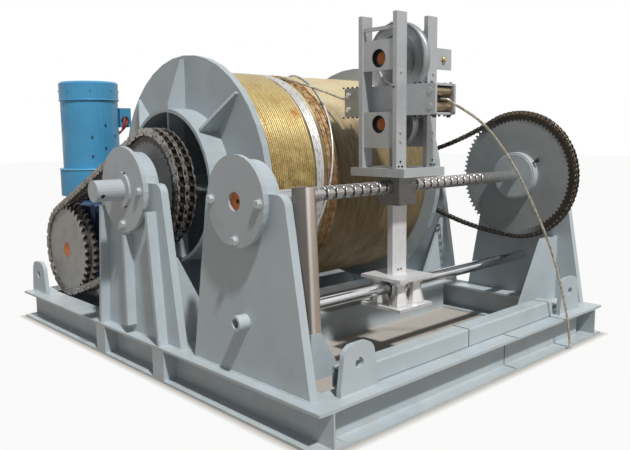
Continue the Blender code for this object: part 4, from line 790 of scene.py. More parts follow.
def double_wheel(teeth, centre, bore):
    """Two toothed discs on a core that clears the chain's plates."""
    rows = DRIVE["rows"]
    core = pitch_radius(teeth, DRIVE) - DRIVE["height"] * 0.7
    start, end = rows[0] + DRIVE_HALF - 0.001, rows[1] - DRIVE_HALF + 0.001
    profile = ((bore, start), (core, start), (core, end), (bore, end))
    return [wheel_disc(teeth, DRIVE, centre, row - DRIVE_HALF, row + DRIVE_HALF, bore)
            for row in rows] + [lathe(profile, (0, *centre), RIGHT, 96)]


def hub_ring(outer, bore, low, high, centre, bevel=0.003):
    """A round hub from x = high out to x = low with a beveled rim."""
    return lathe(((bore, 0.0), (outer, 0.0), (outer, high - low - bevel),
                  (outer - bevel, high - low), (bore, high - low)), (high, *centre), LEFT, 72)


def wheel_with_painted_chain_shadow(name, colour, centre, teeth, inner, shadow_side_angle):
    """Steel with a painted shadow of the chain: a dark ring whose inner edge is
    scalloped like the links' shadow. The mask rises where radius - inner >
    0.006 cos(teeth * angle), on the side of the wheel that faces the given
    angle, where that shadow falls."""
    made = Finish(name, colour, 0.50, 0.15)
    away = [made.maths("SUBTRACT", made.axis(k + 1), float(centre[k])) for k in (0, 1)]
    radius = made.maths("SQRT", made.maths("ADD", *(made.times(value, value) for value in away)))
    angle = made.maths("ARCTAN2", away[1], away[0])
    wave = made.times(made.maths("COSINE", made.times(angle, float(teeth))), 0.006)
    ring = made.spread(made.maths("SUBTRACT", radius, wave), inner - 0.002, inner + 0.002)
    side = made.maths("COSINE", made.maths("SUBTRACT", angle, math.radians(shadow_side_angle)))
    made.tint(made.patches(6.0, 0.35, 0.65), [c * 0.86 for c in colour])
    # painted shadow of the chain on the wheel's face, on one side only
    made.tint(made.times(ring, made.spread(side, -0.45, 0.10)), (0.045, 0.036, 0.028))
    return made.done(made.patches(20.0, 0.3, 0.7), 0.38, 0.58, made.streaks((60, 60, 60)), 0.0002, 0.3)


driven_steel = wheel_with_painted_chain_shadow("driven_sprocket_steel", (0.275, 0.280, 0.285), DRUM_AXIS, DRIVEN_TEETH,
                             0.250, 120)
wind_wheel_steel = wheel_with_painted_chain_shadow("level_wind_wheel_steel", (0.350, 0.376, 0.392), SCREW_AXIS,
                                 WIND_TEETH, 0.357, 150)
near, far = WIND["rows"][0] - WIND_HALF, WIND["rows"][0] + WIND_HALF
hub_sizes = ((0.140, SCREW_BORE, near - 0.050, near), (0.150, SCREW_BORE, near - 0.024, near + SUNK),
             (0.150, 0.1385, near - 0.047, near - 0.026))
WHEELS = (
    ("driven_sprocket_teeth", "drum", driven_steel, "chain_steel",
     [*double_wheel(DRIVEN_TEETH, DRUM_AXIS, DRUM_BORE),
      hub_ring(0.105, DRUM_BORE, -1.0900, -1.0465, DRUM_AXIS, 0.005)]),
    ("drive_sprocket_teeth", "drive", driver_steel, "chain_steel",
     double_wheel(DRIVER_TEETH, DRIVE_AXIS, DRIVE_BORE)),
    ("level_wind_sprocket_teeth", "screw", wind_wheel_steel, "skid_paint",
     [wheel_disc(WIND_TEETH, WIND, SCREW_AXIS, near, far, SCREW_BORE)]),
    ("level_wind_sprocket_hub", "screw", cover_paint, "skid_paint",
     [hub_ring(*sizes, SCREW_AXIS) for sizes in hub_sizes]),
    ("level_wind_pinion_teeth", "drum", wheel_steel, "chain_steel",
     [wheel_disc(PINION_TEETH, WIND, DRUM_AXIS, near, far, DRUM_BORE),
      hub_ring(0.080, DRUM_BORE, near - 0.012, near, DRUM_AXIS)]))
for title, body, finish, slot, parts in WHEELS:
    wheel = edged(title, parts, finish, body)
    if title.endswith("_teeth"):
        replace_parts(wheel, title.removesuffix("_teeth"))
print("sprockets:", DRIVER_TEETH, DRIVEN_TEETH, WIND_TEETH, PINION_TEETH, "teeth")

# %% [markdown]
# ## The roll of rope
# Near the left flange the top layer lies in neat turns, one rope diameter
# apart. Next to it are a few turns of cleaner rope, then a rusty stretch where
# the turns are loose, and the rest is an old greased layer whose turns have
# sunk into each other. A turn is a helix: its place along the drum grows with
# the angle, and here the step between turns also changes with the angle, so
# that the edge of the neat part wanders as it does on a real drum.

# %% Turns of rope on the drum
ROLL_LEFT, ROLL_RIGHT = -0.7537, 0.5963
NEAT_TURNS, CLEAN_TURNS, LOOSE_TURNS = 27, 5, 5
TURN_RADIUS = PACK_RADIUS - ROPE / 2
LOOSE_STEP = 0.0163


def edge_of_neat(angle):
    """x of the neat part's right edge; angle runs from -Y towards +Z. It leans
    back by 32 mm between the front of the drum and its top."""
    return -0.377 + 0.032 * np.clip(np.sin(angle), 0.0, 1.0)


def edge_of_clean(angle):
    """x of the clean part's right edge: it is 66 mm wide, and 92 mm on top."""
    return edge_of_neat(angle) + 0.066 + 0.026 * np.clip(np.sin(angle), 0.0, 1.0)


def on_drum(x, radius, angle):
    """The point at a radius and angle about the drum's axis."""
    return np.stack([x + 0 * radius, DRUM_Y - radius * np.cos(angle), DRUM_Z + radius * np.sin(angle)], -1)


def turns_between(left, right, turns, start):
    """x at a count of turns t: each step is a share of the width between two
    edges, and the first turn lies a start share of a step in from the left."""
    return lambda t, angle: left(angle) + (right(angle) - left(angle)) / turns * (
        start + t * (turns - 1) / turns)


def loose_place(t, angle):
    """The rusty turns wander by 3 mm, each turn in its own way."""
    wander = 0.003 * np.sin(1.43 * angle) * np.sin(0.61 * angle + 1.0)
    return edge_of_clean(angle) + 0.024 + LOOSE_STEP * t + wander


def wound_turns(place, turns, radius, ripple, part=(0.0, 1.0), steps_a_turn=800):
    """A line of t turns: x = place(t, angle) + ripple sin(2.37 angle), at a
    radius that sinks by a rope's diameter at both ends of the whole line, so
    that the rope dives under its neighbours instead of ending in the air."""
    first, last = (turns * share for share in part)
    t = np.linspace(first, last, int((last - first) * steps_a_turn) + 1)
    angle = t * 2 * np.pi + 1.3 * np.pi
    end = np.clip(np.minimum(t, turns - t) / 0.08, 0.0, 1.0)
    wave = ripple * np.sin(2.37 * angle)
    return on_drum(place(t, angle) + wave, radius + 0.6 * wave - ROPE * (1 - end) ** 2, angle)


def outer_laid_rope(line, sides=9, open_angle=104):
    """The side of a laid rope that faces away from the drum's axis: an arc of
    its lobed section between two open angles."""
    along = unit(np.gradient(line, axis=0))
    outward = (line - (0.0, DRUM_Y, DRUM_Z)) * (0.0, 1.0, 1.0)
    outward = unit(outward - along * np.sum(outward * along, axis=1)[:, None])
    angle = np.radians(np.linspace(-open_angle, open_angle, sides))
    radius = strand_radius(line, angle, ROPE, 0.085)
    return rings(line, radius, angle, outward, np.cross(along, outward)), grid_faces(len(line), sides)


def crossing_turn():
    """One slack turn that crosses the old layer at 3 mm a degree, from the top
    of the drum down to the loose turns in front."""
    degrees = np.linspace(92.0, -34.0, 420)
    x = -0.2845 + 0.00298 * degrees + 0.004 * np.sin(np.radians(4 * degrees))
    end = np.clip(np.minimum(degrees + 34, 92 - degrees) / 12, 0.0, 1.0)
    return on_drum(x, PACK_RADIUS + ROPE * 0.42 - 1.3 * ROPE * (1 - end) ** 2, np.radians(degrees))


print("neat part's edge runs from", edge_of_neat(0.0), "to", round(edge_of_neat(np.pi / 2), 3))

# %% [markdown]
# ### Finishes of the roll
# Grease has turned the neat turns golden, darker low down where it gathers.
# The old layer is pale and dusty on top and dark with drained grease in front
# and below. Both change with height on the drum, in patches.

# %% Finishes of the roll
def near_point(made, point, radius):
    """1 at a point, falling to 0 at a radius, with a ragged border."""
    ragged = made.maths("ADD", made.away_from(point),
                        made.times(made.patches(60.0, 0.3, 0.7, 5.0), radius * 0.7))
    return made.spread(ragged, radius * 0.5, radius * 1.3, 1.0, 0.0)


def golden_rope():
    """Golden grease, duller above z = 1.5 and darker below z = 1.4, with fine
    bright specks and one orange smear near the left edge."""
    made = Finish("golden_greased_rope", (0.52, 0.405, 0.155), 0.40, 0.30)
    made.tint(made.patches(9.0, 0.42, 0.66, 5.0), (0.44, 0.30, 0.09))
    made.tint(made.spread(made.axis(2), 1.50, 1.66, 0.0, 0.55), (0.33, 0.29, 0.23))
    low = made.spread(made.axis(2), 1.05, 1.42, 0.80, 0.0)
    made.tint(made.times(low, made.patches(22.0, 0.30, 0.60, 5.0)), (0.20, 0.125, 0.035))
    made.tint(made.times(made.patches(160.0, 0.52, 0.62, 3.0), 0.6), (0.68, 0.58, 0.33))
    made.tint(near_point(made, (-0.405, -0.483, 1.387), 0.050), (0.40, 0.155, 0.015))
    return made.done(made.patches(90.0, 0.3, 0.7), 0.28, 0.50,
                     made.streaks((700, 260, 260), 2.0), 0.0003, 0.5)


def clean_rope():
    """Grey galvanised strands with some brown patches."""
    made = Finish("clean_galvanised_rope", (0.60, 0.60, 0.60), 0.36, 0.45)
    made.tint(made.patches(40.0, 0.50, 0.70, 5.0), (0.40, 0.36, 0.28))
    return made.done(made.patches(90.0, 0.3, 0.7), 0.28, 0.46,
                     made.streaks((700, 260, 260), 2.0), 0.0003, 0.5)


def rusty_rope():
    """Brown rust with pale and black patches, darker low down."""
    made = Finish("rusty_rope", (0.42, 0.215, 0.075), 0.50, 0.15)
    made.tint(made.patches(26.0, 0.46, 0.62, 6.0), (0.56, 0.42, 0.22))
    made.tint(made.times(made.patches(44.0, 0.50, 0.62, 6.0), 0.85), (0.085, 0.045, 0.02))
    made.tint(made.spread(made.axis(2), 1.00, 1.35, 0.6, 0.0), (0.11, 0.065, 0.025))
    return made.done(made.patches(70.0, 0.3, 0.7), 0.35, 0.65,
                     made.patches(420.0, 0.3, 0.7, 3.0), 0.0006, 0.6)


def old_greased_layer():
    """Pale and speckled above z = 1.4, brown below, with dark streaks that run
    round the drum and a light bloom of dried grease underneath."""
    made = Finish("old_greased_layer", (0.66, 0.57, 0.35), 0.62)
    made.tint(made.times(made.patches(150.0, 0.50, 0.60, 4.0), 0.55), (0.40, 0.34, 0.20))
    made.tint(made.times(made.patches(7.0, 0.46, 0.66, 5.0), 0.55), (0.56, 0.34, 0.20))
    height = made.maths("ADD", made.axis(2), made.times(made.patches(5.0, 0.3, 0.7, 5.0), 0.22))
    made.tint(made.spread(height, 1.36, 1.56, 0.94, 0.0), (0.20, 0.145, 0.065))
    round_streaks = made.spread(made.streaks((42, 5, 5), 5.0), 0.46, 0.66, 0.0, 0.60)
    made.tint(made.times(made.spread(made.axis(2), 1.30, 1.42, 1.0, 0.0), round_streaks),
              (0.060, 0.040, 0.022))
    bloom = made.spread(made.axis(2), 0.50, 0.82, 0.75, 0.0)
    made.tint(made.times(bloom, made.patches(6.0, 0.35, 0.60, 5.0)), (0.36, 0.28, 0.17))
    return made.done(made.patches(30.0, 0.3, 0.7), 0.42, 0.75,
                     made.patches(260.0, 0.3, 0.7, 4.0), 0.0012, 0.8)


gold, clean, rusty = golden_rope(), clean_rope(), rusty_rope()
print("finishes:", gold.name, clean.name, rusty.name)

# %% [markdown]
# ### The layer below and the turns
# The old layer is a turned surface whose radius follows r = 0.639 under the
# neat turns and climbs to 0.647 beyond them. Its sunk turns show as ripples of
# one rope's pitch, and slow swells run round it.

# %% Roll pieces
SUNK_PITCH = 0.0145
BARREL_RADIUS, UNDER_NEAT, STEP_UP = 0.4356, 0.6390, 0.0082


def roll_surface(columns=256):
    """A closed ring: barrel side, left end, outer face, right end. The outer
    radius is the low one, plus climb (0 to 1) times the step up, its ripple
    of one rope's pitch and its swell."""
    x = np.concatenate([np.linspace(ROLL_LEFT + 0.0005, -0.40, 12),
                        np.arange(-0.395, ROLL_RIGHT - 0.002, 0.0029),
                        [ROLL_RIGHT - 0.0005]])[:, None]
    angle = circle(columns)
    climb = np.clip((x - edge_of_clean(angle) - 0.016 - LOOSE_TURNS * LOOSE_STEP) / 0.03, 0.0, 1.0)
    climb = climb ** 2 * (3 - 2 * climb)
    ripple = 0.0005 * np.cos(2 * np.pi * (x - SUNK_PITCH * angle / (2 * np.pi)) / SUNK_PITCH)
    swell = 0.0011 * np.sin(3 * angle + 9 * x) * np.sin(14 * x + 2 * np.sin(angle))
    outer = on_drum(x, UNDER_NEAT + climb * (STEP_UP + ripple + swell), angle)
    inner = on_drum(x[[-1, 0]], np.full((2, columns), BARREL_RADIUS), angle)
    return np.concatenate([outer, inner]), grid_faces(len(x) + 2, columns, True, True)


neat_place = turns_between(lambda angle: ROLL_LEFT, edge_of_neat, NEAT_TURNS, 0.5)
clean_place = turns_between(edge_of_neat, edge_of_clean, CLEAN_TURNS, 0.6)
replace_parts(mesh_piece("rope_roll_old_layer", [roll_surface()], old_greased_layer(), "drum"),
            "rope_pack")
for title, finish, line in (
        ("neat_turns_1", gold, wound_turns(neat_place, NEAT_TURNS, TURN_RADIUS, 0.0004, (0.0, 0.5))),
        ("neat_turns_2", gold, wound_turns(neat_place, NEAT_TURNS, TURN_RADIUS, 0.0004, (0.5, 1.0))),
        ("clean_turns", clean, wound_turns(clean_place, CLEAN_TURNS, TURN_RADIUS, 0.0005)),
        ("loose_turns", rusty, wound_turns(loose_place, LOOSE_TURNS, TURN_RADIUS - 0.001, 0.0014))):
    mesh_piece("rope_roll_" + title, [outer_laid_rope(line)], finish, "drum", closed=False)
mesh_piece("rope_roll_crossing_turn", [outer_laid_rope(crossing_turn(), 13, 150)], clean,
           "drum", closed=False)
print("roll of rope:", NEAT_TURNS + CLEAN_TURNS + LOOSE_TURNS + 1, "turns over an old layer")

# %% [markdown]
# ## The reversing screw
# A reversing screw has two helical grooves, one right-handed and one left-
# handed, that cross each other. The radius at place x and angle a is R less the
# deeper of the two grooves, and a groove is a smooth dip about the line
# a = 2 pi x / lead for one hand and a = -2 pi x / lead for the other. At the
# ends of the travel the grooves run out into plain shaft.

# %% Crossed grooves
SCREW_RADIUS, SCREW_LEAD = 0.0350, 0.0625
THREAD_LEFT, THREAD_RIGHT = -0.740, 0.684


def groove(phase, width=0.78):
    """cos-shaped dip: 1 in the middle, 0 at half a width from it (radians)."""
    off = np.abs((phase + np.pi) % (2 * np.pi) - np.pi)
    return np.where(off < width, 0.5 + 0.5 * np.cos(np.pi * off / width), 0.0)


def threaded_shaft(columns=72, depth=0.0062):
    """Rings about the screw's axis of radius R - depth * the larger of the two
    grooves, which fade out over 20 mm at each end of the thread."""
    (left, _, _), (right, _, _) = reach("reversing_screw")
    x = np.concatenate([[left, left + 0.002], np.linspace(left + 0.01, THREAD_LEFT - 0.003, 4),
                        np.arange(THREAD_LEFT, THREAD_RIGHT, 0.0024),
                        np.linspace(THREAD_RIGHT + 0.003, right - 0.01, 6), [right - 0.002, right]])[:, None]
    angle = circle(columns)
    turn = 2 * np.pi * (x - THREAD_LEFT) / SCREW_LEAD
    run_out = np.clip(np.minimum(x - THREAD_LEFT, THREAD_RIGHT - x) / 0.02, 0.0, 1.0)
    radius = SCREW_RADIUS - depth * np.maximum(groove(angle - turn), groove(angle + turn)) * run_out
    radius[[0, -1]] -= 0.002
    centres = x * RIGHT + (0.0, *SCREW_AXIS)
    return rings(centres, radius, angle, FRONT, UP), sleeve_faces(len(x), columns)


def thread_finish():
    """Ground steel whose grooves are coloured near-black: the mask is the
    distance from the axis, which is smaller in a groove."""
    made = Finish("reversing_screw_steel", (0.46, 0.46, 0.465), 0.24, 0.75)
    middle = add(made.tree, "CombineXYZ", {"X": made.axis(0), "Y": SCREW_Y, "Z": SCREW_Z})
    depth = made.away_from(middle.outputs[0])
    inside = made.spread(made.maths("ABSOLUTE", made.axis(0)), THREAD_RIGHT, THREAD_RIGHT + 0.016, 1.0, 0.0)
    worn = made.times(made.patches(30.0, 0.45, 0.70, 5.0), inside)
    made.tint(made.times(worn, 0.7), (0.30, 0.27, 0.19))
    made.tint(made.spread(depth, 0.0305, 0.0342, 1.0, 0.0), (0.022, 0.016, 0.012))
    return made.done(made.patches(50.0, 0.3, 0.7), 0.16, 0.30,
                     made.streaks((20, 400, 400), 2.0), 0.0001, 0.12)


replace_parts(mesh_piece("reversing_screw_crossed_thread", [threaded_shaft()], thread_finish(), "screw"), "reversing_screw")
print("screw:", round((THREAD_RIGHT - THREAD_LEFT) / SCREW_LEAD), "turns of each hand")

# %% [markdown]
# ## Bolts
# A hexagon bolt is three short forms on one axis: a washer, a hexagonal head
# whose corners are cut back by a cone, and a shallow dish in its top. A socket
# bolt is a short drum with a hole in its top, made round here because it is
# only a few millimetres wide. Every bolt below is one of these two recipes at
# a place, along an axis, at a nominal size.

# %% Bolt recipes
def hex_bolt(place, axis, size, turn=0.2):
    """Head 1.5 sizes across its flats and 0.63 high, washer 2 sizes wide. The
    cone that cuts the corners back is 0.10 sizes high."""
    flat, washer = 0.75 * size, 0.14 * size
    corner, top = flat / math.cos(math.pi / 6), washer + 0.63 * size
    base, axis = np.asarray(place, float), np.asarray(axis, float)
    return [capped(((size, 0.0), (size, washer * 0.8), (size * 0.96, washer)), base, axis, 24, turn),
            capped(((corner, washer), (corner, top - 0.10 * size), (flat * 0.97, top)), base, axis, 6, turn),
            lathe(((flat * 0.90, 0.0), (flat * 0.72, 0.03 * size), (flat * 0.60, 0.0)),
                  base + axis * (top - 0.001 * size), axis, 18, turn)]


def socket_bolt(place, axis, size):
    """Head 1.5 sizes wide and one size high with a round socket 0.6 deep: the
    profile goes up outside, over the rim and down into the hole."""
    radius, hole = 0.75 * size, 0.42 * size
    return [cupped(((radius, 0.0), (radius, 0.90 * size), (radius * 0.93, size), (hole, size),
                    (hole, 0.4 * size)), place, axis, 24)]


def dished_cap(place, axis, radius, depth=0.5):
    """A cap whose face falls 8 % of its radius towards a small centre hole,
    which is depth * radius deep."""
    return cupped(((radius, -0.004), (radius, 0.0), (radius * 0.55, -0.06 * radius),
                   (radius * 0.26, -0.08 * radius), (radius * 0.24, -depth * radius)), place, axis, 32)


def hole_shade_disc(place, axis, radius, depth):
    """A drilled hole's shade, painted as a dark disc a hair proud of the
    surface, with a lighter countersunk rim round it."""
    rim = lathe(((radius * 1.18, -0.0005), (radius * 1.18, 0.0004), (radius, 0.0008), (radius, -0.0005)),
                place, axis, 24)
    return rim, capped(((radius, -depth), (radius, 0.0006)), place, axis, 24)


def ring_way(degrees):
    """The direction across the X axis at an angle; 0 degrees is towards +Y."""
    a = math.radians(degrees)
    return np.array((0.0, math.cos(a), math.sin(a)))


print("a hexagon bolt has", len(gather(hex_bolt((0, 0, 0), UP, 1.0))[0]), "points")

# %% Bolts of the bearing covers
HUB_STEP = 0.012
COVER_CIRCLE, DRUM_COVER_CIRCLE, COVER_BOLT = 0.172, 0.188, 0.024
COVER_LEFT, COVER_RIGHT = reach("screw_cover_left")[0][0], reach("screw_cover_right")[1][0]
DRUM_COVER_LEFT, DRUM_COVER_RIGHT = reach("drum_cover_left")[0][0], reach("drum_cover_right")[1][0]
cover_bolts = []
for x, centre, radius, axis in ((COVER_LEFT, SCREW_AXIS, COVER_CIRCLE, LEFT),
                                (DRUM_COVER_LEFT + HUB_STEP, DRUM_AXIS, DRUM_COVER_CIRCLE, LEFT),
                                (COVER_RIGHT, SCREW_AXIS, COVER_CIRCLE, RIGHT),
                                (DRUM_COVER_RIGHT - HUB_STEP, DRUM_AXIS, DRUM_COVER_CIRCLE, RIGHT)):
    for degrees in (0, 180, 270):
        cover_bolts += hex_bolt((x, *centre) + radius * ring_way(degrees), axis, COVER_BOLT)
edged("bearing_cover_bolts", cover_bolts, cover_bolt_paint, "skid")
print("cover bolts:", len(cover_bolts) // 3)

# %% [markdown]
# ## Shaft ends and bearing caps
# Behind each cover's hole sits the orange cap that keeps dirt out of the
# bearing. The drum shaft's stub has set screws in the hub ring beside it and
# a cross hole near its end.

# %% Caps, painted hole shade and set screws
CAP_INSET, CAP_RADIUS, SHAFT_CAP_INSET, SHAFT_CAP_RADIUS = 0.016, 0.0420, 0.0070, 0.0470
HUB_RING, HUB_RING_SCREW = 0.0930, 0.008
SHAFT_RADIUS, CROSS_HOLE_INSET, CROSS_HOLE = 0.0575, 0.030, 0.012
CROSS_HOLE_WAY = np.array((0.0, -0.9025, -0.4307))
shaft_end, stub_end = reach("output_shaft")[0][0], reach("drum_shaft")[0][0]
edged("screw_bearing_caps", [dished_cap((COVER_LEFT + CAP_INSET, *SCREW_AXIS), LEFT, CAP_RADIUS),
                             dished_cap((COVER_RIGHT - CAP_INSET, *SCREW_AXIS), RIGHT, CAP_RADIUS)],
      orange_cap, "skid")
edged("output_shaft_cap", [dished_cap((shaft_end - SHAFT_CAP_INSET, *DRIVE_AXIS), LEFT, SHAFT_CAP_RADIUS)],
      orange_cap, "drive")
set_screws = []
for way in map(ring_way, (-20, 115, 245)):
    set_screws += socket_bolt((DRUM_COVER_LEFT + HUB_STEP / 2, *DRUM_AXIS) + HUB_RING * way, way,
                              HUB_RING_SCREW)
edged("hub_ring_set_screws", set_screws, black_steel, "skid")
# painted shade: a dark disc stands for the inside of the cross hole
hole_rim, hole_disc = hole_shade_disc((stub_end + CROSS_HOLE_INSET, *DRUM_AXIS) + CROSS_HOLE_WAY * SHAFT_RADIUS,
                           CROSS_HOLE_WAY, CROSS_HOLE, CROSS_HOLE / 3)
edged("shaft_cross_hole_rim", [hole_rim], cover_paint, "drum")
edged("shaft_cross_hole", [hole_disc], black_rubber_and_hole_shade, "drum")
print("caps: 3, set screws:", len(set_screws))

# %% [markdown]
# ## Motor and gearbox
# The motor's shell has a few drilled and tapped holes in its front, a rolled
# seam under its cap and a lighter lip where the adapter meets it. Its leads
# leave the terminal box through a gland and bend down towards the shell. The
# gearbox carries cooling fins across the front of its upper housing.

# %% Motor details
MOTOR_X, MOTOR_Y, MOTOR_R, ADAPTER_R = -0.714, 1.412, 0.205, 0.223
CAP_SEAM, LIP, CAP_SCREW_Z, CAP_SCREW = (1.516, 1.526), (1.029, 1.041), 1.585, 0.006
SHELL_HOLES = ((-85, 1.347), (-113, 1.265), (-86, 1.186), (-113, 1.130), (-59, 1.270))
LEADS = ((0.000, red_wire), (0.011, black_rubber_and_hole_shade), (0.022, red_wire), (0.033, black_rubber_and_hole_shade))
SHEATH = 0.0095


def on_motor(degrees, radius, z):
    """The place on the motor's shell and the direction outward there."""
    a = math.radians(degrees)
    out = np.array((math.cos(a), math.sin(a), 0.0))
    return (MOTOR_X, MOTOR_Y, z) + radius * out, out


def band(name, radius, low, high, proud, finish):
    """A rolled ring round the motor: its profile swells by proud."""
    middle, half = (low + high) / 2, (high - low) / 2
    swell = [(radius + proud * math.cos(t), middle + half * math.sin(t))
             for t in np.radians(np.linspace(-90, 90, 7))]
    ring = lathe([(radius - 0.002, low), *swell, (radius - 0.002, high)], (MOTOR_X, MOTOR_Y, 0.0), UP, 96)
    mesh_piece(name, [ring], finish, "skid", closed=False)


# painted shade: dark discs stand for the insides of the tapped holes
holes = [hole_shade_disc(*on_motor(degrees, MOTOR_R, z), 0.0072, 0.003) for degrees, z in SHELL_HOLES]
edged("motor_tapped_hole_rims", [rim for rim, _ in holes], motor_paint, "skid")
edged("motor_tapped_hole_shade", [dot for _, dot in holes], black_rubber_and_hole_shade, "skid")
band("motor_cap_seam", MOTOR_R, *CAP_SEAM, 0.0035, motor_paint)
band("adapter_lip", ADAPTER_R, *LIP, 0.0045, adapter_edge_paint)
box_x, box_y, _ = reach("terminal_box")[0]
for number, (shift, sheath) in enumerate(LEADS, 1):
    bends = ((0.022 + shift, 0.010, 1.392 - shift / 2), (0.020 + shift, -0.032, 1.396 - shift),
             (-0.004 + shift, -0.052, 1.352), (-0.020 + shift / 2, -0.040, 1.292 + shift / 2),
             (-0.058, -0.012 + shift / 3, 1.262 + shift / 2))
    lead = curve_through((box_x, box_y, 0.0) + np.array(bends), 10)
    mesh_piece(f"motor_lead_{number}", [laid_rope(lead, SHEATH, 10, 0.0)], sheath, "skid")
gland = capped(((0.030, 0.0), (0.030, 0.010), (0.024, 0.016)), (box_x + 0.040, box_y + 0.0005, 1.384),
               FRONT, 6)
edged("terminal_box_gland", [gland], black_rubber_and_hole_shade, "skid")
print("motor holes:", len(holes), "leads:", len(LEADS))

# %% Gearbox fins and case bolts
FINS, FIN_INSET, FIN_PITCH, FIN_THICK, FIN_BEVEL = 9, 0.030, 0.026, 0.008, 0.012
CASE_BOLT, BOLT_INSET = 0.012, 0.030
case_low, case_high = reach("gearbox")


def fin(top):
    """A thin plate whose two outer corners are cut off."""
    left, right = case_low[0] + FIN_INSET, case_high[0] - FIN_INSET
    outer, inner = case_low[1] - 0.016, case_low[1] + 0.004
    corners = ((left, outer + FIN_BEVEL), (left + FIN_BEVEL, outer), (right - FIN_BEVEL, outer),
               (right, outer + FIN_BEVEL), (right, inner), (left, inner))
    return [(x, y, z) for z in (top, top + FIN_THICK) for x, y in corners], sleeve_faces(2, 6)


fins = [fin(case_high[2] - 0.024 - FIN_PITCH * k) for k in range(FINS)]
edged("gearbox_fins", fins, gearbox_paint, "skid")
middle = (case_low + case_high) / 2
case_bolts = []
for x in (case_low[0] + 0.035, middle[0], case_high[0] - 0.035):
    for z in (case_low[2] + BOLT_INSET, case_low[2] + 0.150):
        case_bolts += hex_bolt((x, case_low[1], z), FRONT, CASE_BOLT)
        case_bolts += hex_bolt((x, case_high[1], z), BACK, CASE_BOLT)
for y in (case_low[1] + 0.05, middle[1], case_high[1] - 0.05):
    for z in (case_low[2] + BOLT_INSET, case_high[2] - BOLT_INSET):
        case_bolts += hex_bolt((case_high[0], y, z), RIGHT, CASE_BOLT)
edged("gearbox_case_bolts", case_bolts, bolt_steel, "skid")
print("fins:", len(fins), "case bolts:", len(case_bolts) // 3)

# %% Cap screws of the motor
cap_screws = []
for degrees in np.arange(22.5, 360, 45):
    cap_screws += socket_bolt(*on_motor(degrees, MOTOR_R - 0.001, CAP_SCREW_Z), CAP_SCREW)
edged("motor_cap_screws", cap_screws, motor_paint, "skid")
print("cap screws:", len(cap_screws))

# %% [markdown]
# ## Sheaves
# Each sheave is turned from one profile of (radius, half width share): hub,
# sunken web, raised rim and a round-bottomed rope groove between two lips. The
# same shares of radius and width serve the large and the small sheave.

# %% Sheave profile
def sheave_profile(radius, half, hub_half, hub=0.040, bore=0.0247):
    """One side from the bore over the hub, the web at 0.4 half and the rim at
    0.72 half to the lip, then the round groove, and the mirror image."""
    web, face, rim, crown = 0.40 * half, 0.72 * half, 0.66 * radius, 0.90 * radius
    side = [(bore, hub_half), (hub - 0.002, hub_half), (hub, hub_half - 0.002), (hub, web + 0.006),
            (hub + 0.006, web), (rim - 0.006, web), (rim - 0.001, face - 0.002), (rim + 0.002, face),
            (crown, face), (crown + 0.004, face + 0.001), (0.985 * radius, 0.97 * half),
            (radius, 0.90 * half), (radius, 0.82 * half)]
    dip = [(radius - 0.002 - 0.011 * math.sin(t), 0.76 * half * math.cos(t))
           for t in np.radians(np.linspace(0, 90, 6))]
    one = np.array(side + dip)
    return np.concatenate([one, one[::-1][1:] * (1, -1)])


for name, half in (("upper_sheave", 0.025), ("lower_sheave", 0.020)):
    low, high = reach(name)
    profile = sheave_profile((high[2] - low[2]) / 2, half, (high[0] - low[0]) / 2)
    sheave = mesh_piece(name + "_turned", [washer_ring(profile, (low + high) / 2, RIGHT, 128)],
                        sheave_steel, name)
    sheave.data.set_sharp_from_angle(angle=math.radians(28))
    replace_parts(sheave, name)
print("sheaves turned")

# %% [markdown]
# ## Inside the tower's windows
# Each round window of the side panels is the mouth of a blind bore. A black
# lining painted in for its shade lines it, and an orange cap closes the axle's end at its bottom.

# %% Painted shade linings and caps in the bores
TOWER_HALF, WEB_INSET, BORE_DEPTH = 0.163, 0.010, 0.029
BORE_BOTTOM = TOWER_HALF - WEB_INSET - BORE_DEPTH + 0.0004
WINDOWS = (1.316, 1.650)
BORE_SHADE_LININGS = ((0.0467, 0.0452, 0.0255), (0.0455, 0.0290, 0.0040))
bore_shade_linings, caps = [], []
for z in WINDOWS:
    for side in (-1, 1):
        bottom, axis = CARRIAGE_X + side * BORE_BOTTOM, (side, 0, 0)
        # painted shade: black linings down the bore's wall and round its bottom
        for outer, inner, length in BORE_SHADE_LININGS:
            tube = ((outer, 0.0), (outer, length), (inner, length), (inner + 0.001, 0.0))
            bore_shade_linings.append(washer_ring(tube, (bottom, SCREW_Y, z), axis, 48))
        caps.append(dished_cap((bottom + side * 0.0045, SCREW_Y, z), axis, 0.0300, 0.11))
edged("axle_bore_painted_shade", bore_shade_linings, black_rubber_and_hole_shade, "carriage")
edged("axle_bore_caps", caps, orange_cap, "carriage")
print("axle bores:", len(caps))

# %% [markdown]
# ## Fasteners of the rope guide
# Hexagon bolts hold the posts and the roller pins, dark socket screws hold the
# bridges between the guide's two plates, and a dome-headed screw holds the
# cable bracket.

# %% Guide fasteners
PLATE_OUT = 0.0847
POST_OUT = 0.132
POST_BOLT, POST_BOLT_HEIGHTS = 0.0085, (1.577, 1.275, 1.231)
FRONT_PINS, REAR_PINS = -1.262, -0.706
PIN_BOLT, PIN_HEIGHTS = 0.0165, (1.399, 1.476)
SCREW_INSET, SCREW_PITCH, BRIDGE_SCREW, END_SCREW, STOP_SCREW = 0.0075, 0.0345, 0.0080, 0.0140, 0.0060
GUIDE_LOW, GUIDE_HIGH = FAIRLEAD_Z - 0.0772, FAIRLEAD_Z + 0.0772
post_low, post_high = reach("tower_side_left")
POST_FACES = ((post_low[1], FRONT, -1), (post_high[1], BACK, 1))


def dome_screw(place, axis, radius):
    """A round head: height = 0.55 radius at its middle, with a small socket."""
    dome = [(radius * math.cos(t), 0.55 * radius * math.sin(t)) for t in np.radians(np.linspace(0, 78, 6))]
    return capped([(radius, -0.001), *dome, (radius * 0.2, 0.30 * radius)], place, axis, 20)


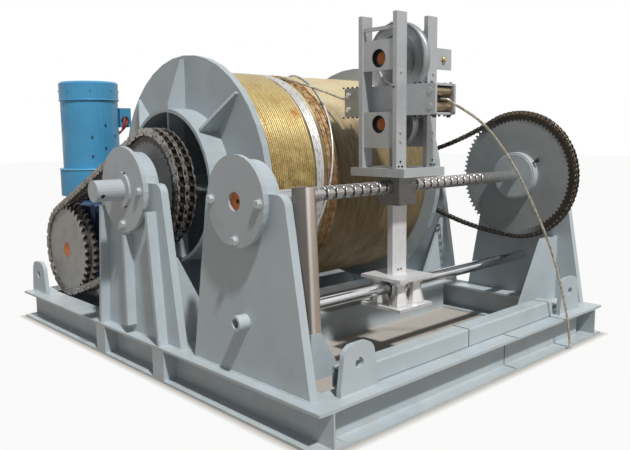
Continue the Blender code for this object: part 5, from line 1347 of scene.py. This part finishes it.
post_bolts, pin_bolts, pin_washers, bridge_screws = [], [], [], []
for x in (CARRIAGE_X - POST_OUT, CARRIAGE_X + POST_OUT):
    for z in POST_BOLT_HEIGHTS:
        for y, axis, _ in POST_FACES:
            post_bolts += hex_bolt((x, y, z), axis, POST_BOLT, 0.4)
for side in (-1, 1):
    face = CARRIAGE_X + side * (PLATE_OUT + 0.0002)
    for z in PIN_HEIGHTS:
        pin_bolts += hex_bolt((face, REAR_PINS, z), (side, 0, 0), PIN_BOLT, 0.3)
        pin_washers.append(capped(((0.0155, 0.0), (0.0155, 0.0022), (0.0142, 0.0030)),
                                  (face, FRONT_PINS, z), (side, 0, 0), 32))
for first, count in ((SCREW_Y - 0.282, 4), (SCREW_Y + 0.188, 5)):
    for y in first + SCREW_PITCH * np.arange(count):
        for side in (-1, 1):
            x = CARRIAGE_X + side * (PLATE_OUT - SCREW_INSET)
            bridge_screws += socket_bolt((x, y, GUIDE_HIGH), UP, BRIDGE_SCREW)
            bridge_screws += socket_bolt((x, y, GUIDE_LOW), DOWN, BRIDGE_SCREW)
for x in (CARRIAGE_X - 0.060, CARRIAGE_X + 0.055):
    bridge_screws += socket_bolt((x, SCREW_Y - 0.287, GUIDE_LOW - 0.0006), DOWN, END_SCREW)
bridge_screws += socket_bolt((CARRIAGE_X - TOWER_HALF, post_low[1] + 0.018, 1.500), LEFT, STOP_SCREW)
nipple = capped(((0.0055, 0.0), (0.0055, 0.006), (0.0034, 0.009), (0.0034, 0.013), (0.0042, 0.016),
                 (0.0020, 0.019)), (CARRIAGE_X + 0.030, reach("nut_block")[0][1], 1.008), FRONT, 16)
edged("post_bolts", post_bolts, bolt_steel, "carriage")
edged("rear_roller_pin_bolts", pin_bolts, chrome, "carriage")
edged("front_roller_pin_ends", pin_washers, aluminium, "carriage")
edged("guide_bridge_screws", bridge_screws, black_steel, "carriage")
mesh_piece("cable_bracket_screw", [dome_screw((0.106, post_low[1] - 0.0003, 1.656), FRONT, 0.0150)],
           brass_screw, "carriage")
edged("nut_grease_nipple", [nipple], bolt_steel, "carriage")
print("guide fasteners:", len(post_bolts) // 3 + len(pin_bolts) // 3 + len(bridge_screws))

# %% [markdown]
# ## Small fastenings
# The screws at the feet of the posts and of the hanger are black. The big
# wheel's hub is clamped on its shaft by one long screw that stands off the
# hub, and the rope's end is bound with a few turns of soft wire so that its
# strands stay together.

# %% Foot screws, clamp screw and seizing
WIRE = 0.0017
FOOT_SCREW, HANGER_SCREW, HANGER_SCREW_Z = 0.0065, 0.0060, 0.5350
FOOT_PLACES = ((-0.0135, 1.1015), (0.0135, 1.1015), (0.0, 1.1260))
CLAMP_WAY = ring_way(147)


def seizing(line, turns=9):
    """Wire wound on the rope's last centimetres: centre + r (cos a, sin a) in
    the plane across the rope, moving on by one wire width each turn."""
    along, first, second = carried_frames(line)
    a = np.linspace(0.0, turns * 2 * np.pi, turns * 20)[:, None]
    onward = 0.006 + WIRE * 1.05 * a / (2 * np.pi)
    across = np.cos(a) * first[-1] + np.sin(a) * second[-1]
    return line[-1] - along[-1] * onward + (ROPE / 2 + WIRE * 0.35) * across


foot_screws = []
for x in (CARRIAGE_X - POST_OUT, CARRIAGE_X + POST_OUT):
    for off, z in FOOT_PLACES:
        for y, axis, out in POST_FACES:
            foot_screws += socket_bolt((x + off, y - out * 0.0010, z), axis, FOOT_SCREW)
hanger = corners_of("guide_hanger")
stem_front = hanger[hanger[:, 2] > 0.70][:, 1].min()
for off in (-0.012, 0.012):
    foot_screws += socket_bolt((CARRIAGE_X + off, stem_front + 0.0010, HANGER_SCREW_Z), FRONT, HANGER_SCREW)
clamp = capped(((0.0055, 0.0), (0.0055, 0.0380), (0.0120, 0.0385), (0.0125, 0.0400), (0.0125, 0.0540),
                (0.0110, 0.0555)), (near - 0.025, *SCREW_AXIS) + CLAMP_WAY * 0.1380, CLAMP_WAY, 20)
edged("tower_foot_screws", foot_screws, black_steel, "carriage")
edged("hub_clamp_screw", [clamp], black_steel, "screw")
mesh_piece("rope_end_seizing", [laid_rope(seizing(route), WIRE, 8, 0.0)], bolt_steel, "carriage")
print("foot screws:", len(foot_screws), "and one clamp screw")

# %% [markdown]
# ## Weld beads
# A bead is a half-sunk round rod whose surface ripples where each pool of
# metal froze: radius = r (1 + 0.14 cos(2 pi s / pitch)) at length s. Beads run
# along both sides of each stand's foot and of the lugs' feet. Where the front
# beam and the box member were spliced, a thin dark seam goes round the section.

# %% Beads at the feet and the lugs, seams of the splices
BEAM_TOP, BEAM_FRONT, FRONT_WEB, BEAM_SEAM, BOX_SEAM = 0.184, -1.5235, -1.4465, 0.231, -0.090
LUG_HALF = 0.112
FRONT_LUG_X, FRONT_LUG_FACES = 0.924, (-1.4613, -1.4363)
REAR_LUG_Y, REAR_LUG_FACES = 1.406, (1.157, 1.132)


def bead(start, end, radius=0.0052, pitch=0.009):
    """A closed tube of eight sides with three rings to each ripple."""
    start, end = np.asarray(start, float), np.asarray(end, float)
    length = np.linalg.norm(end - start)
    s = np.linspace(0.0, length, max(4, round(length / pitch * 3)))[:, None]
    first, second, along = frame_of(end - start)
    size = radius * (1 + 0.14 * np.cos(2 * np.pi * s / pitch))
    size[[0, -1]] = radius * 0.45
    return rings(start + s * along, size, circle(8), first, second), sleeve_faces(len(s), 8)


def plate_sides(name):
    """The two x faces of a stand's main plate, read near the plate's top."""
    corners = corners_of(name)
    top = corners[corners[:, 2] > corners[:, 2].max() - 0.02]
    return top[:, 0].min(), top[:, 0].max()


beads = []
for stand_name in ("screw_stand_left", "screw_stand_right", "drum_stand_left", "drum_stand_right"):
    foot_low, foot_high = reach(stand_name)
    for x in plate_sides(stand_name):
        beads.append(bead((x, foot_low[1] + 0.004, BEAM_TOP), (x, foot_high[1] - 0.004, BEAM_TOP)))
for side in (-1, 1):
    for y in FRONT_LUG_FACES:
        x = side * FRONT_LUG_X
        beads.append(bead((x - LUG_HALF, y, BEAM_TOP), (x + LUG_HALF, y, BEAM_TOP)))
    for off in REAR_LUG_FACES:
        x = side * off
        beads.append(bead((x, REAR_LUG_Y - LUG_HALF, BEAM_TOP), (x, REAR_LUG_Y + LUG_HALF, BEAM_TOP)))
(_, box_front, _), (_, box_back, box_top) = reach("front_box_member")
SEAM_LINES = ((BEAM_SEAM, (BEAM_FRONT, BEAM_TOP), (box_front - 0.001, BEAM_TOP)),
              (BEAM_SEAM, (FRONT_WEB, 0.018), (FRONT_WEB, 0.166)),
              (BEAM_SEAM, (BEAM_FRONT, 0.0130), (FRONT_WEB - 0.001, 0.0160)),
              (BOX_SEAM, (box_front, 0.186), (box_front, box_top)),
              (BOX_SEAM, (box_front, box_top), (box_back, box_top)))
seams = [bead((x, *start), (x, *end), 0.0022, 0.012) for x, start, end in SEAM_LINES]
mesh_piece("weld_beads", beads, skid_paint, "skid")
mesh_piece("splice_seams", seams, black_steel, "skid")
print("weld beads:", len(beads), "seams:", len(seams))

# %% [markdown]
# ## Floor and light
# The machine stands outdoors at noon in life. Here one broad lamp from the
# front left stands for that sun, and a white surround fills the shadows. The
# surround is white for the eye, for reflections and through glass, and weaker
# as a light, so that colours show about as they are written.

# %% Floor, surround and lamp
FLOOR_HALF = 30.0
FILL_LIGHT = 0.14
SUN_WAY, SUN_STRENGTH, SUN_COLOUR = (-0.16, -0.53, 0.83), 3.2, (1.0, 0.985, 0.96)


def pale_floor():
    """A square of pale matt floor that keeps the object's shadow."""
    made = Finish("floor_matt", (0.43, 0.400, 0.365), 0.9)
    made.tint(made.patches(1.2, 0.3, 0.7), (0.41, 0.382, 0.350))
    mesh = bpy.data.meshes.new("floor")
    corners = [(x, y, 0.0) for x, y in ((-FLOOR_HALF, -FLOOR_HALF), (FLOOR_HALF, -FLOOR_HALF),
                                        (FLOOR_HALF, FLOOR_HALF), (-FLOOR_HALF, FLOOR_HALF))]
    mesh.from_pydata(corners, [], [(0, 1, 2, 3)])
    mesh.materials.append(made.material)
    stand("floor", mesh)
    return made


def outside_skid(made, soft):
    """0 under the skid, rising to 1 at a soft distance from its edge: the
    larger of |x| - half length and |y| - half width, held between 0 and 1."""
    edge = reach("side_beam_right")[1]
    sides = [made.maths("SUBTRACT", made.maths("ABSOLUTE", made.axis(k)), float(edge[k]))
             for k in (0, 1)]
    return made.spread(made.maths("MAXIMUM", *sides), 0.0, soft)


def glow_to_camera(made, share):
    """Adds a white glow that only the camera's own rays see. It is left off
    under the skid, so that the floor there shows darker: painted shade under
    the skid.
    """
    camera_ray = add(made.tree, "LightPath", {}).outputs["Is Camera Ray"]
    # the glow is kept off under the skid: painted shade beneath the machine
    fac = made.times(made.times(camera_ray, outside_skid(made, 0.05)), share)
    glow = add(made.tree, "Emission", {})
    mix = add(made.tree, "MixShader", {"Fac": fac, 1: made.shader.outputs["BSDF"],
                                       2: glow.outputs["Emission"]})
    made.tree.links.new(mix.outputs["Shader"], made.tree.nodes["Material Output"].inputs["Surface"])


glow_to_camera(pale_floor(), 0.92)
surround = bpy.data.worlds.new("surround")
surround.use_nodes = True
sky = surround.node_tree
rays = add(sky, "LightPath", {}).outputs
seen = add(sky, "Math", {0: rays["Is Camera Ray"], 1: rays["Is Glossy Ray"]}, "ADD")
seen_all = add(sky, "Math", {0: seen.outputs[0], 1: rays["Is Transmission Ray"]}, "ADD")
seen.use_clamp = True
seen_all.use_clamp = True
strength = add(sky, "MapRange", {"To Min": FILL_LIGHT, "To Max": 1.0, "Value": seen_all.outputs[0]})
background = sky.nodes["Background"]
background.inputs["Color"].default_value = (1.0, 1.0, 1.0, 1.0)
sky.links.new(strength.outputs["Result"], background.inputs["Strength"])
bpy.context.scene.world = surround

sun = bpy.data.lights.new("sun", "SUN")
sun.energy = SUN_STRENGTH
sun.angle = math.radians(3.0)
sun.color = SUN_COLOUR
stand("sun", sun, frame_of(SUN_WAY))
bpy.context.scene.view_settings.view_transform = "Standard"
print("light set")
